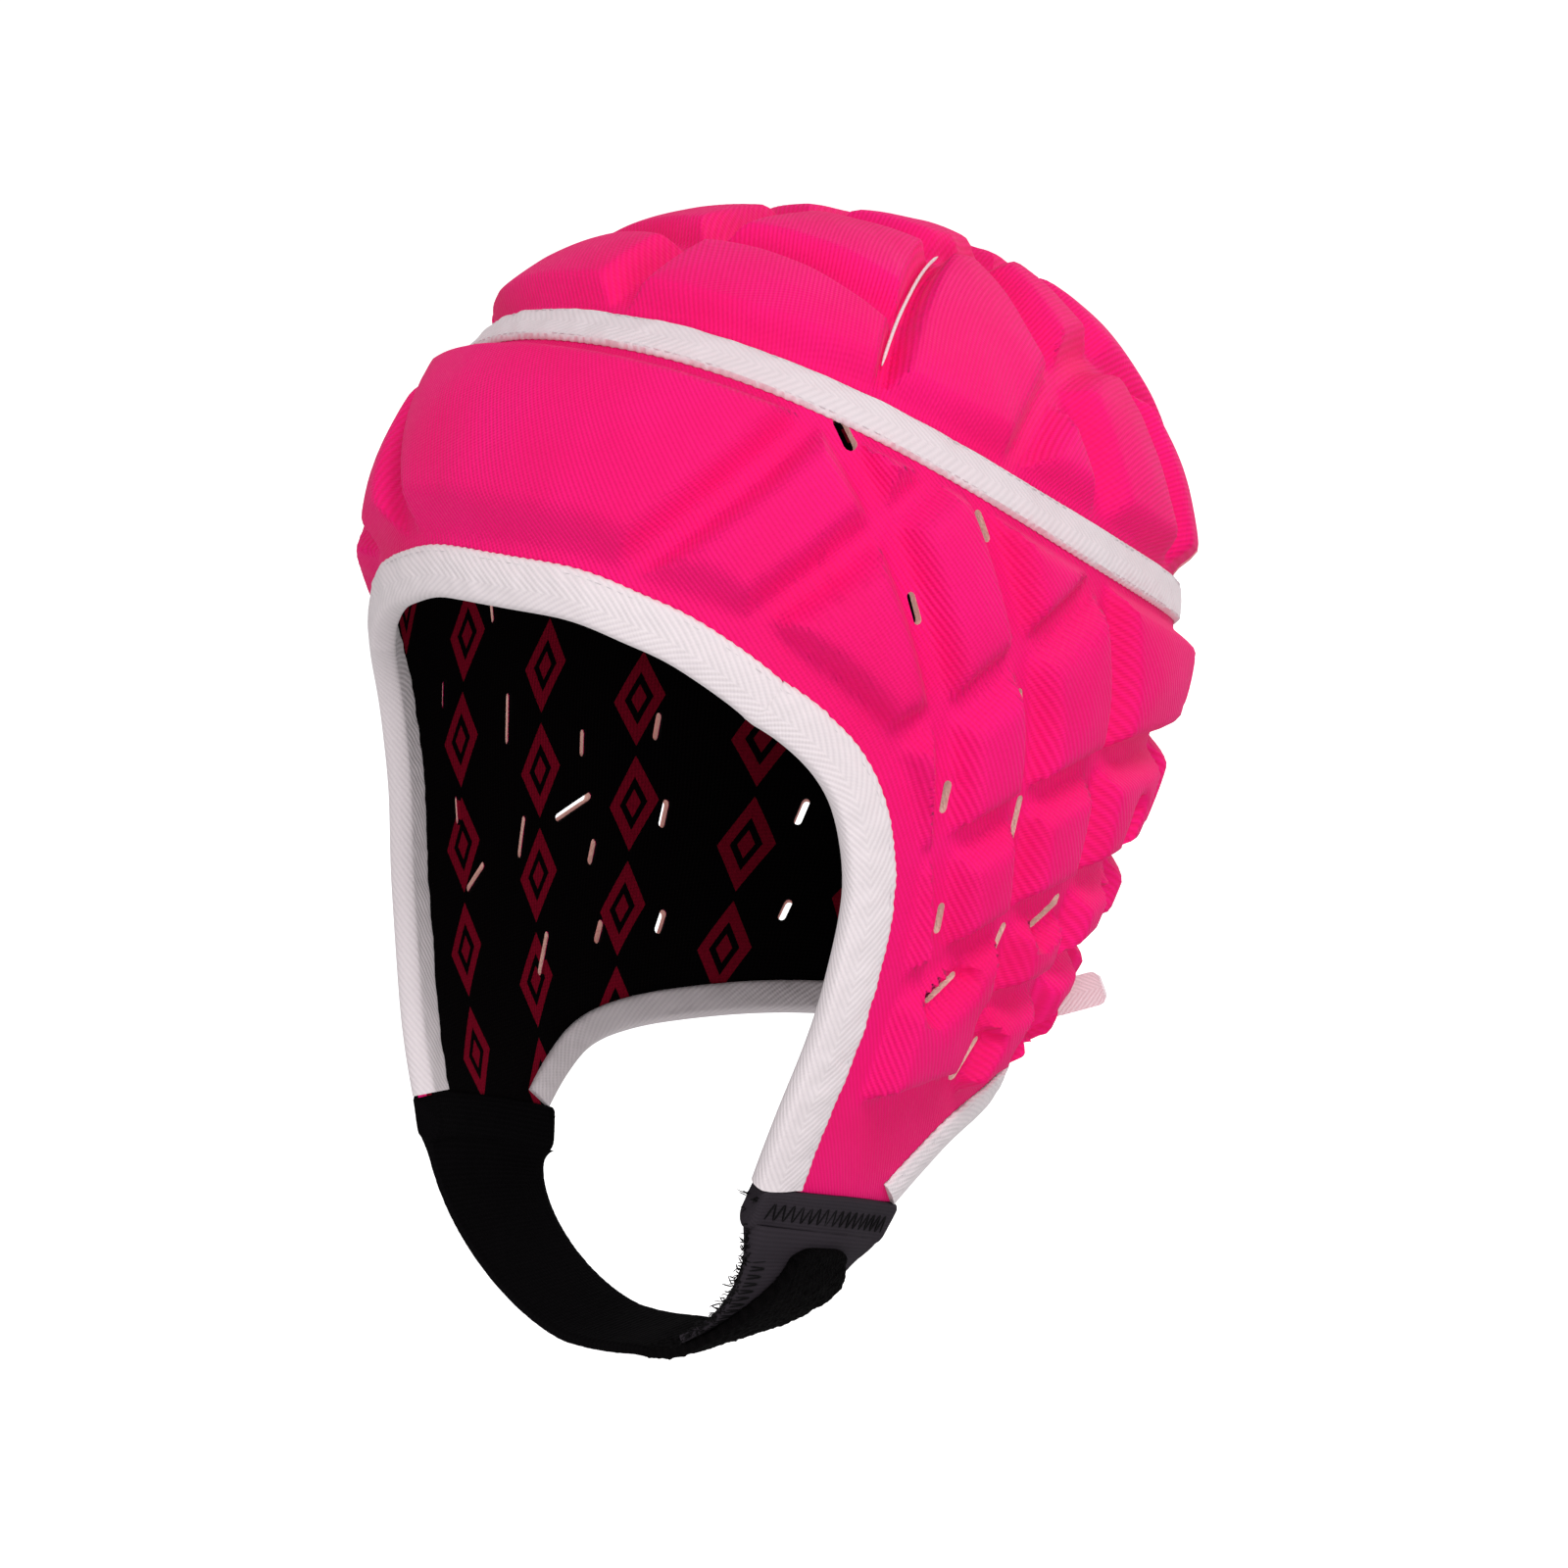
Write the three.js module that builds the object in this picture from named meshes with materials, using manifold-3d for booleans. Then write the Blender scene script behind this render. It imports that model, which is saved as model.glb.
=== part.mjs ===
// A rugby scrum cap: two padded foam panels joined under a tape, a thin lining, bindings round the face and the
// nape, and a chin strap that runs from the right flap to an anchor tab on the left one.
// Millimetres, +Z up. The face looks towards -Y and the wearer's left is +X.
// The origin is the inside top of the crown, where the cap sits on the head.
import * as THREE from 'three';
import { mergeVertices } from 'three/addons/utils/BufferGeometryUtils.js';
import Module from 'manifold-3d';

const wasm = await Module();
wasm.setup();

// Head hollow
const HEAD_WIDTH = 160; // inside width at the widest level
const HEAD_FRONT = 90; // from the head's middle to the inside of the forehead
const HEAD_REAR = 105; // from the head's middle to the inside of the back
const DOME_HEIGHT = 90; // from the inside top down to the widest level
const SKIRT_DEPTH = 125; // from the widest level down to the foot of the nape

// Layers, from the head outwards
const LINING_THICKNESS = 1.0;
const WEB_THICKNESS = 2.2; // foam and cloth pressed flat between the pads
const PAD_RISE = 6.4; // how far a pad stands up from the web
const CLEARANCE = 0.3; // air left between pieces that touch

// Pads
const CHANNEL_WIDTH = 3.5; // flat floor between two pads
const SLIT_WIDTH = 2.0; // flat floor of the dart in the crown
const BEVEL_WIDTH = 6.5; // sloping side of a pad
const SLIT_BEVEL = 3.0; // steeper side beside the dart

// Trims
const SEAM_GAP = 0.6; // between the two panels, under the tape
const TAPE_WIDTH = 9.5;
const TAPE_THICKNESS = 1.2;
const TAPE_MARGIN = 1.6; // web left bare beside the tape
const BINDING_THICKNESS = 1.2;
const FACE_BINDING_WIDTH = 10;
const NECK_BINDING_WIDTH = 8;
const INNER_LEG_SHARE = 0.8; // the leg on the lining, as a share of the binding's width
const BINDING_MARGIN = 6.5; // web left bare beside the bindings
const FOLD_CLEARANCE = 1.2; // air between a fold and the lining's edge, which curves
const LEG_CLEARANCE = 0.6; // air between a fold and the panel's outer face

// Seam between the panels: a slanted plane, lifted a little towards both ends
const SEAM_HEIGHT = -49.7; // over the head's middle
const SEAM_SLOPE = 0.6; // fall per millimetre towards the back
const SEAM_LIFT = 3.2; // lift at SEAM_REACH before and behind the middle
const SEAM_REACH = 45;

// Vent slots
const SLOT_WIDTH = 3;

// Chin strap, anchor tab and rear tape
const STRAP_THICKNESS = 2.6;
const STRAP_DROP = 31; // from the flap's foot to the lowest point of the strap
const STRAP_LAP = 8; // how far the strap's ends reach up over the flap
const LEAF_THICKNESS = 1.3; // each of the two leaves that hold the flap
const HOLDER_BASE = 3; // where the two leaves meet under the flap
const STRAP_MIDDLE_WIDTH = 27; // under the chin
const STRAP_FORWARD = 14; // how far the strap swings forward under the chin
const RIGHT_ARC_POWER = 1.3; // power on the arc's sine and cosine; 1 is half an ellipse, above it is narrower
const LEFT_ARC_POWER = 0.92; // the same on the left half, which bulges
const STRAP_TAPER_POWER = 0.75; // power on the cosine by which the strap narrows under the chin
const STRAP_END = 0.92; // share of the way from under the chin to the left flap where the strap's free end is
const STRAP_END_FRONT = 0; // front edge of that end, in half widths of the path before (-) or behind its middle
const TAB_TIP = 0.44; // share of the same way where the tab's tip is
const STRAP_RAMP = 0.2; // share of the same way over which the strap steps out to pass over the tab
const STRAP_STEP = 0.05; // share of the same way between two sections
const TAB_THICKNESS = 1.8;
const REAR_TAPE_WIDTH = 8.6;
const REAR_TAPE_THICKNESS = 1.4;
const REAR_TAPE_LENGTH = 50;
const REAR_TAPE_ROOT = [176, 1.818]; // a place on the head: angle and level
const REAR_TAPE_AIM = [0.88, 0.3, 0.36]; // direction of its free end

// Mesh fineness
const COLUMNS = 80; // points round the outer face
const INNER_COLUMNS = 40;
const OUTER_RINGS = 18; // down the side panel
const INNER_RINGS = 10;
const CROWN_RINGS = 12;
const INNER_CROWN_RINGS = 4;
const EDGE_STEP = 8.5; // along rims and bindings
const QUARTER_ABOVE = 0.16; // share of the way down the crown above which rings have a quarter of the points
const HALF_ABOVE = 0.42; // the same for half of the points

// Measuring on the head
const HALF_TURN = 180;
const CURVE_POINTS = 240; // along a curve before it is stepped evenly
const LINE_STEP = 3; // along a channel
const SEARCH_STEPS = 24; // halvings in a search for a level
const SEARCH_REACH = 0.3; // levels on each side of the seam that a search covers
const MOVE_STEPS = 6; // short moves that make up a longer one along the surface
const LEVEL_PROBE = 0.004;
const ANGLE_PROBE = 0.5;

const PANEL_INSIDE = LINING_THICKNESS + CLEARANCE;
const WEB_TOP = PANEL_INSIDE + WEB_THICKNESS;

// The skirt's plan at levels below the widest one. drop is a share of SKIRT_DEPTH; width, front and rear are
// shares of the head's; forward is the plan's move towards the face as a share of HEAD_FRONT.
const SKIRT_SECTIONS = [
  { drop: 0.0, width: 1.0, front: 1.0, rear: 1.0, forward: 0.0 },
  { drop: 0.25, width: 0.963, front: 0.96, rear: 0.99, forward: 0.078 },
  { drop: 0.5, width: 0.9, front: 0.95, rear: 0.86, forward: 0.144 },
  { drop: 0.75, width: 0.788, front: 0.83, rear: 0.775, forward: 0.256 },
  { drop: 1.0, width: 0.658, front: 0.69, rear: 0.68, forward: 0.333 },
];
const DOME_ROUNDNESS = 0.9; // power on the dome's sine and cosine; 1 is an ellipse
const FRONT_ROUNDNESS = 2.2; // power of the plan's superellipse before the ears; 2 is an ellipse
const REAR_ROUNDNESS = 2.35; // the same behind the ears

// A place on the head is an angle and a level. The angle is in degrees, from 0 at the face's middle over 90 at
// the wearer's left ear to 180 at the back. The level is 0 at the top, 1 at the widest level and 2 at the foot.

// Half rims, on the wearer's left
const FACE_RIM = {
  angle: [0, 12, 21, 30, 43, 53, 58, 58, 57.6, 55.2],
  level: [0.869, 0.873, 0.898, 0.938, 1.034, 1.16, 1.311, 1.49, 1.668, 1.88],
};
const NECK_RIM = {
  angle: [100, 107, 115, 126, 145, 180],
  level: [1.99, 1.94, 1.897, 1.878, 1.87, 1.853],
};

// Channels between the pads of the side panel, on the wearer's left and mirrored
const SIDE_CHANNELS = [
  {
    name: 'forehead end',
    angle: [17, 20.3, 36, 51, 54],
    level: [0.86, 0.814, 0.672, 0.537, 0.5],
  },
  {
    name: 'first row',
    angle: [34, 37.3, 59, 72, 74],
    level: [0.9, 0.882, 0.737, 0.662, 0.63],
  },
  {
    name: 'second row',
    angle: [52, 67.3, 83.7, 108.3, 112],
    level: [1.08, 1.018, 0.958, 0.878, 0.86],
  },
  {
    name: 'third row',
    angle: [57, 73.3, 90, 110.3, 138.7, 180],
    level: [1.32, 1.27, 1.218, 1.186, 1.21, 1.235],
  },
  {
    name: 'fourth row',
    angle: [58, 78, 94.7, 113.7, 134.7, 180],
    level: [1.6, 1.491, 1.443, 1.423, 1.415, 1.43],
  },
  {
    name: 'fifth row',
    angle: [96.6, 117.3, 132.3, 180],
    level: [1.612, 1.595, 1.563, 1.61],
  },
  {
    name: 'ear column',
    angle: [51, 59, 67.3, 73.3, 78],
    level: [0.537, 0.737, 1.018, 1.27, 1.491],
  },
  {
    name: 'second column',
    angle: [76, 83.7, 90, 94.7, 98.3, 99],
    level: [0.64, 0.958, 1.218, 1.443, 1.603, 1.76],
  },
  {
    name: 'third column',
    angle: [108.3, 106.5, 110.3, 113.7, 117.3, 130],
    level: [0.84, 0.93, 1.186, 1.423, 1.595, 1.8],
  },
  {
    name: 'fourth column',
    angle: [140, 138.7, 134.7, 132.3, 146],
    level: [0.97, 1.21, 1.415, 1.563, 1.8],
  },
  {
    name: 'rear column',
    angle: [166, 166, 166],
    level: [1.02, 1.42, 1.8],
  },
];
// Foot of the lowest pads on the flap; below it the flap is flat
const FLAP_PAD_FOOT = {
  angle: [58, 72.3, 99, 112],
  level: [1.76, 1.743, 1.75, 1.83],
};

// Channels of the crown, seen from above. across is a share of half HEAD_WIDTH and back a share of HEAD_REAR.
const CROWN_CHANNELS = [
  { name: 'middle', across: [0, 0], back: [-0.56, 1.06] },
  { name: 'front cross', across: [0, 0.3, 0.57], back: [-0.195, -0.15, -0.115] },
  { name: 'top cross', across: [0, 0.22, 0.37], back: [0.155, 0.19, 0.242] },
  { name: 'rear cross', across: [0, 0.31, 0.66, 1.0], back: [0.5, 0.51, 0.525, 0.64] },
  { name: 'side cross', across: [0.37, 0.42, 0.76, 1.03], back: [0.242, 0.325, 0.255, 0.262] },
  { name: 'side front', across: [0.77, 0.86, 0.91], back: [0.255, 0.07, -0.1] },
  { name: 'side rear', across: [0.77, 0.66, 0.66], back: [0.255, 0.525, 0.85] },
  { name: 'back', across: [0.41, 0.31, 0.3], back: [0.32, 0.51, 1.0] },
];
const SLIT = { across: [0.36, 0.53, 0.7, 0.76], back: [0.262, -0.005, -0.27, -0.37] };

// How far down the side panel's blank reaches before its rims are cut, by angle
const BLANK_FOOT = [
  { angle: 0, level: 1.0 },
  { angle: 25, level: 1.15 },
  { angle: 45, level: 1.6 },
  { angle: 58, level: 2.12 },
  { angle: 115, level: 2.12 },
  { angle: 135, level: 1.98 },
  { angle: 180, level: 1.96 },
];

// Vent slots, on the wearer's left and mirrored. lean is in degrees from straight down, towards the back.
const VENT_SLOTS = [
  { angle: 54.8, level: 0.583, length: 8.5, lean: 16 },
  { angle: 78.7, level: 0.763, length: 7.7, lean: 12 },
  { angle: 63.3, level: 0.87, length: 7.6, lean: 14 },
  { angle: 84.5, level: 1.034, length: 8.1, lean: 11 },
  { angle: 107.3, level: 0.994, length: 8.3, lean: 0 },
  { angle: 71.8, level: 1.174, length: 7.6, lean: 6 },
  { angle: 91, level: 1.257, length: 13, lean: 1 },
  { angle: 76.4, level: 1.404, length: 7.4, lean: 3 },
  { angle: 110.2, level: 1.338, length: 7.1, lean: 0 },
  { angle: 125.8, level: 1.331, length: 7.3, lean: -8 },
  { angle: 108.4, level: 1.458, length: 13.8, lean: -70 },
  { angle: 95, level: 1.491, length: 11, lean: -10 },
  { angle: 81.5, level: 1.54, length: 10.4, lean: -52 },
  { angle: 113.5, level: 1.55, length: 7, lean: -9 },
  { angle: 128.2, level: 1.5, length: 7.6, lean: -7 },
  { angle: 152, level: 1.51, length: 7.5, lean: -11 },
  { angle: 102.3, level: 1.716, length: 12, lean: -14 },
  { angle: 117, level: 1.7, length: 6.6, lean: -12 },
  { angle: 130.7, level: 1.7, length: 6.7, lean: -11 },
  { angle: 153.3, level: 1.69, length: 6, lean: -12 },
  { angle: 141.8, level: 0.93, length: 8.1, lean: -12 },
];

const placesOf = ({ angle, level }) => angle.map((value, i) => [value, level[i]]);
const radians = THREE.MathUtils.degToRad;
const clamp = THREE.MathUtils.clamp;
const mix = THREE.MathUtils.lerp;

// Smooth curve through the rows of a table, read at one key
function readTable(rows, key, column, at) {
  const last = rows.length - 1;
  const slope = (i) => {
    if (i === 0) return 0;
    const next = Math.min(i + 1, last);
    return (rows[next][column] - rows[i - 1][column]) / (rows[next][key] - rows[i - 1][key]);
  };
  let i = 0;
  while (i < last - 1 && at > rows[i + 1][key]) i++;
  const step = rows[i + 1][key] - rows[i][key];
  const s = (at - rows[i][key]) / step;
  return (2 * s ** 3 - 3 * s ** 2 + 1) * rows[i][column] + (s ** 3 - 2 * s ** 2 + s) * step * slope(i)
    + (3 * s ** 2 - 2 * s ** 3) * rows[i + 1][column] + (s ** 3 - s ** 2) * step * slope(i + 1);
}

// The head side of the lining at a place on the head
function headPoint(angle, level) {
  if (level <= 0) return new THREE.Vector3(0, 0, 0);
  const quarter = clamp(level, 0, 1) * Math.PI / 2;
  const drop = Math.max(level - 1, 0);
  const spread = level < 1 ? Math.sin(quarter) ** DOME_ROUNDNESS : 1;
  const height = level < 1
    ? -DOME_HEIGHT * (1 - Math.cos(quarter) ** DOME_ROUNDNESS)
    : -DOME_HEIGHT - drop * SKIRT_DEPTH;
  const toFace = Math.cos(radians(angle));
  const toSide = Math.sin(radians(angle));
  const side = HEAD_WIDTH / 2 * spread * readTable(SKIRT_SECTIONS, 'drop', 'width', drop);
  const depth = toFace > 0
    ? HEAD_FRONT * spread * readTable(SKIRT_SECTIONS, 'drop', 'front', drop)
    : HEAD_REAR * spread * readTable(SKIRT_SECTIONS, 'drop', 'rear', drop);
  const forward = HEAD_FRONT * readTable(SKIRT_SECTIONS, 'drop', 'forward', drop);
  const power = toFace > 0 ? FRONT_ROUNDNESS : REAR_ROUNDNESS;
  const reach = (Math.abs(toSide / side) ** power + Math.abs(toFace / depth) ** power) ** (-1 / power);
  return new THREE.Vector3(reach * toSide, -reach * toFace - forward, height);
}

// Directions on the head at a place: round (per degree of angle), down (per unit of level) and outwards
function headFrame(angle, level) {
  const above = Math.max(level - LEVEL_PROBE, LEVEL_PROBE / 40);
  const below = level + LEVEL_PROBE;
  const round = headPoint(angle + ANGLE_PROBE, level).sub(headPoint(angle - ANGLE_PROBE, level))
    .divideScalar(2 * ANGLE_PROBE);
  const down = headPoint(angle, below).sub(headPoint(angle, above)).divideScalar(below - above);
  const out = new THREE.Vector3().crossVectors(down, round).normalize();
  return { round, down, out };
}

// A point at a height above the head's surface
function raised(angle, level, height) {
  if (level < LEVEL_PROBE) return new THREE.Vector3(0, 0, height);
  return headPoint(angle, level).addScaledVector(headFrame(angle, level).out, height);
}

// The place reached from another by going a distance in a direction along the surface, in short moves
function moveOnHead(place, direction, distance) {
  let [angle, level] = place;
  for (let i = 0; i < MOVE_STEPS; i++) {
    const { round, down } = headFrame(angle, level);
    const rr = round.dot(round);
    const rd = round.dot(down);
    const dd = down.dot(down);
    const r = (round.dot(direction) * distance) / MOVE_STEPS;
    const d = (down.dot(direction) * distance) / MOVE_STEPS;
    const det = rr * dd - rd * rd;
    angle += (r * dd - d * rd) / det;
    level += (d * rr - r * rd) / det;
  }
  return [angle, level];
}

// Level of the seam between the panels at an angle, found by halving
function findSeamLevel(angle) {
  let low = LEVEL_PROBE;
  let high = 2;
  for (let i = 0; i < SEARCH_STEPS; i++) {
    const middle = (low + high) / 2;
    const p = raised(angle, middle, WEB_TOP);
    const plane = SEAM_HEIGHT - SEAM_SLOPE * p.y + SEAM_LIFT * (p.y / SEAM_REACH) ** 2;
    if (p.z > plane) low = middle;
    else high = middle;
  }
  return low;
}
const seamLevels = Array.from({ length: HALF_TURN + 1 }, (_, degree) => findSeamLevel(degree));
const { euclideanModulo } = THREE.MathUtils;
const foldedAngle = (angle) => Math.abs(euclideanModulo(angle + HALF_TURN, 2 * HALF_TURN) - HALF_TURN);
function seamLevel(angle) {
  const folded = foldedAngle(angle);
  const degree = Math.min(Math.floor(folded), HALF_TURN - 1);
  return mix(seamLevels[degree], seamLevels[degree + 1], folded - degree);
}

const seamLine = Array.from({ length: 2 * HALF_TURN + 1 }, (_, i) => {
  const angle = i - HALF_TURN;
  return headPoint(angle, seamLevel(angle));
});

// Distance from a point to the nearest of some lines
function distanceTo(lines, point) {
  const segment = new THREE.Line3();
  const near = new THREE.Vector3();
  let best = Infinity;
  for (const line of lines) {
    for (let i = 1; i < line.length; i++) {
      segment.set(line[i - 1], line[i]);
      segment.closestPointToPoint(point, true, near);
      best = Math.min(best, near.distanceToSquared(point));
    }
  }
  return Math.sqrt(best);
}

// The level at a distance below the seam, or above it if negative, measured square to it and found by halving
const knownLevels = new Map();
function besideSeam(angle, distance) {
  const key = `${angle} ${distance}`;
  if (!knownLevels.has(key)) {
    let near = seamLevel(angle);
    let far = near + Math.sign(distance) * SEARCH_REACH;
    for (let i = 0; i < SEARCH_STEPS; i++) {
      const middle = (near + far) / 2;
      if (distanceTo([seamLine], headPoint(angle, middle)) < Math.abs(distance)) near = middle;
      else far = middle;
    }
    knownLevels.set(key, distance === 0 ? seamLevel(angle) : near);
  }
  return knownLevels.get(key);
}

// Points along a smooth curve through places, at equal steps of about the given length
function walk(places, step) {
  const curve = new THREE.SplineCurve(places.map((p) => new THREE.Vector2(p[0], p[1])));
  const fine = curve.getPoints(CURVE_POINTS).map((p) => [p.x, p.y]);
  const lengths = [0];
  for (let i = 1; i < fine.length; i++) {
    lengths.push(lengths[i - 1] + headPoint(...fine[i]).distanceTo(headPoint(...fine[i - 1])));
  }
  const total = lengths[lengths.length - 1];
  const count = Math.max(1, Math.round(total / step));
  const result = [];
  let j = 0;
  for (let i = 0; i <= count; i++) {
    const along = total * i / count;
    while (j < fine.length - 2 && lengths[j + 1] < along) j++;
    const s = clamp((along - lengths[j]) / (lengths[j + 1] - lengths[j]), 0, 1);
    result.push([mix(fine[j][0], fine[j + 1][0], s), mix(fine[j][1], fine[j + 1][1], s)]);
  }
  return result;
}

const mirrored = (places) => places.map(([angle, level]) => [-angle, level]).reverse();

// The flap's foot: both rims carried down by the lap that the strap's leaves cover
const lapLevel = STRAP_LAP / SKIRT_DEPTH;
const [flapFront] = placesOf(FACE_RIM).slice(-1);
const [flapRear] = placesOf(NECK_RIM);
const flapFootFront = [flapFront[0], flapFront[1] + lapLevel];
const flapFootRear = [flapRear[0], flapRear[1] + lapLevel];

const faceHalf = walk(placesOf(FACE_RIM), EDGE_STEP);
const neckHalf = walk(placesOf(NECK_RIM), EDGE_STEP);
const flapFoot = walk([flapFootFront, flapFootRear], EDGE_STEP);
const faceRim = [...mirrored(faceHalf), ...faceHalf.slice(1)];
const onwards = (places) => places.map(([angle, level]) => [angle + 2 * HALF_TURN, level]);
const neckRim = [...neckHalf, ...onwards(mirrored(neckHalf)).slice(1)];
const leftEdge = [...faceHalf, ...flapFoot, ...neckHalf];
const wholeEdge = [...leftEdge, ...onwards(mirrored(leftEdge)).slice(1, -1)];

// A spot of the crown's plan as a place on the head
function fromPlan(across, back) {
  const x = across * HEAD_WIDTH / 2;
  const y = back * HEAD_REAR;
  const depth = y < 0 ? HEAD_FRONT : HEAD_REAR;
  const power = y < 0 ? FRONT_ROUNDNESS : REAR_ROUNDNESS;
  const spread = (Math.abs(across) ** power + Math.abs(y / depth) ** power) ** (1 / power);
  const level = Math.asin(clamp(spread ** (1 / DOME_ROUNDNESS), 0, 1)) / (Math.PI / 2);
  return [THREE.MathUtils.radToDeg(Math.atan2(x, -y)), level];
}
function planLine({ across, back }) {
  const curve = new THREE.SplineCurve(across.map((x, i) => new THREE.Vector2(x, back[i])));
  const count = Math.ceil(curve.getLength() * HEAD_REAR / LINE_STEP);
  return curve.getSpacedPoints(count).map((p) => headPoint(...fromPlan(p.x, p.y)));
}
const onHead = (places) => places.map((place) => headPoint(...place));

const sideLines = SIDE_CHANNELS.map((channel) => onHead(walk(placesOf(channel), LINE_STEP)));
const crownLines = CROWN_CHANNELS.map(planLine);
const slitLine = [planLine(SLIT)];
const faceLine = [onHead(faceHalf)];
const neckLine = [onHead(neckHalf)];
const flapPadFoot = placesOf(FLAP_PAD_FOOT).map(([angle, level]) => ({ angle, level }));

// Height of the outer face over the head's surface: the web, with a pad wherever channels and edges leave room
function padHeight(angle, level, isCrown) {
  const folded = foldedAngle(angle);
  const p = headPoint(folded, level);
  const half = CHANNEL_WIDTH / 2;
  const fromSeam = distanceTo([seamLine], p) - TAPE_WIDTH / 2 - TAPE_MARGIN;
  let rise = fromSeam / BEVEL_WIDTH;
  if (isCrown) {
    rise = Math.min(rise, (distanceTo(crownLines, p) - half) / BEVEL_WIDTH);
    rise = Math.min(rise, (distanceTo(slitLine, p) - SLIT_WIDTH / 2) / SLIT_BEVEL);
  } else {
    rise = Math.min(rise, (distanceTo(sideLines, p) - half) / BEVEL_WIDTH);
    rise = Math.min(rise, (distanceTo(faceLine, p) - FACE_BINDING_WIDTH - BINDING_MARGIN) / BEVEL_WIDTH);
    rise = Math.min(rise, (distanceTo(neckLine, p) - NECK_BINDING_WIDTH - BINDING_MARGIN) / BEVEL_WIDTH);
    if (folded < flapPadFoot[flapPadFoot.length - 1].angle) {
      const foot = readTable(flapPadFoot, 'angle', 'level', Math.max(folded, flapPadFoot[0].angle));
      rise = Math.min(rise, (foot - level) * SKIRT_DEPTH / BEVEL_WIDTH);
    }
  }
  return WEB_TOP + PAD_RISE * THREE.MathUtils.smoothstep(rise, 0, 1);
}

// A closed shell from rings of points, listed from the top down. Rings may differ in their number of points, and
// a ring of one point is a tip. Both faces are stitched the same way, so that layers with equal rings lie
// parallel, and the right half mirrors the left one.
function shellOf(outer, inner = []) {
  const positions = [...outer, ...inner].flat().flatMap((p) => [p.x, p.y, p.z]);
  const indices = [];
  let start = 0;
  const numbered = (rings) => rings.map((ring) => {
    start += ring.length;
    return { start: start - ring.length, count: ring.length };
  });
  const outerRings = numbered(outer);
  const innerRings = numbered(inner);
  const stitch = (a, b, isTurned) => {
    let i = 0;
    let j = 0;
    while ((a.count > 1 && i < a.count) || (b.count > 1 && j < b.count)) {
      const nextA = a.count > 1 && i < a.count ? (i + 1) / a.count : Infinity;
      const nextB = b.count > 1 && j < b.count ? (j + 1) / b.count : Infinity;
      const isUpperNext = nextA < nextB || (nextA === nextB && nextA <= 0.5);
      const first = a.start + i % a.count;
      const second = b.start + j % b.count;
      const third = isUpperNext ? a.start + (i + 1) % a.count : b.start + (j + 1) % b.count;
      indices.push(...(isTurned ? [first, second, third] : [first, third, second]));
      if (isUpperNext) i++;
      else j++;
    }
  };
  for (let k = 1; k < outerRings.length; k++) stitch(outerRings[k - 1], outerRings[k], false);
  for (let k = 1; k < innerRings.length; k++) stitch(innerRings[k - 1], innerRings[k], true);
  if (inner.length > 0) {
    stitch(outerRings[outer.length - 1], innerRings[inner.length - 1], false);
    if (outer[0].length > 1) stitch(outerRings[0], innerRings[0], true);
  }
  return facingOut(positions, indices);
}

// Turns a closed surface round if its faces point in
function facingOut(positions, indices) {
  const at = (i) => new THREE.Vector3().fromArray(positions, indices[i] * 3);
  let volume = 0;
  for (let i = 0; i < indices.length; i += 3) {
    volume += at(i).dot(at(i + 1).cross(at(i + 2)));
  }
  if (volume < 0) indices.reverse();
  const geometry = new THREE.BufferGeometry();
  geometry.setAttribute('position', new THREE.Float32BufferAttribute(positions, 3));
  geometry.setIndex(indices);
  return geometry;
}

// A bar swept along stations, each a section with the outline's number of points, and flat at its ends
function barOf(stations, outline) {
  const positions = stations.flat().flatMap((p) => [p.x, p.y, p.z]);
  const n = outline.length;
  const last = (stations.length - 1) * n;
  const indices = [];
  for (let k = 0; k < stations.length - 1; k++) {
    for (let i = 0; i < n; i++) {
      const a = k * n + i;
      const b = k * n + (i + 1) % n;
      indices.push(a, b, b + n, a, b + n, a + n);
    }
  }
  const ends = THREE.ShapeUtils.triangulateShape(outline.map(([x, y]) => new THREE.Vector2(x, y)), []);
  const turn = THREE.ShapeUtils.area(outline.map(([x, y]) => new THREE.Vector2(x, y))) < 0;
  for (const [a, b, c] of ends) {
    const [p, q] = turn ? [c, b] : [b, c];
    indices.push(a, q, p, last + a, last + p, last + q);
  }
  return facingOut(positions, indices);
}

// Joining and cutting of closed surfaces
function toSolid(geometry) {
  const merged = mergeVertices(geometry, 1e-4);
  return new wasm.Manifold(new wasm.Mesh({
    numProp: 3,
    vertProperties: merged.attributes.position.array,
    triVerts: new Uint32Array(merged.index.array),
  }));
}
function fromSolid(solid) {
  const mesh = solid.getMesh();
  const geometry = new THREE.BufferGeometry();
  geometry.setAttribute('position', new THREE.BufferAttribute(mesh.vertProperties, 3));
  geometry.setIndex(new THREE.BufferAttribute(mesh.triVerts, 1));
  return geometry;
}

// One ring round the head at levels given by a function of the angle
function ringAt(count, levelAt, heightAt) {
  return Array.from({ length: count }, (_, i) => {
    const angle = i * 360 / count;
    const level = levelAt(angle);
    return raised(angle, level, heightAt(angle, level));
  });
}

// Everything below the rims, as a solid that trims the panels and the lining
function belowRims() {
  const inside = 2; // the cut's reach past the lining
  const outside = WEB_TOP + 1; // and past the web
  const far = HEAD_WIDTH / 2; // and away from the cap
  const heart = new THREE.Vector3(0, -HEAD_FRONT / 6, -DOME_HEIGHT - SKIRT_DEPTH / 3);
  const foot = new THREE.Vector3(0, 0, -3 * (DOME_HEIGHT + SKIRT_DEPTH));
  const low = wholeEdge.map(([angle, level]) => raised(angle, level, -inside));
  const high = wholeEdge.map(([angle, level]) => raised(angle, level, outside));
  const wide = high.map((p) => {
    const outwards = new THREE.Vector3(p.x, p.y, 0).normalize();
    return p.clone().addScaledVector(outwards, far);
  });
  return toSolid(shellOf([[heart], low, high, wide, [foot]]));
}

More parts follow.
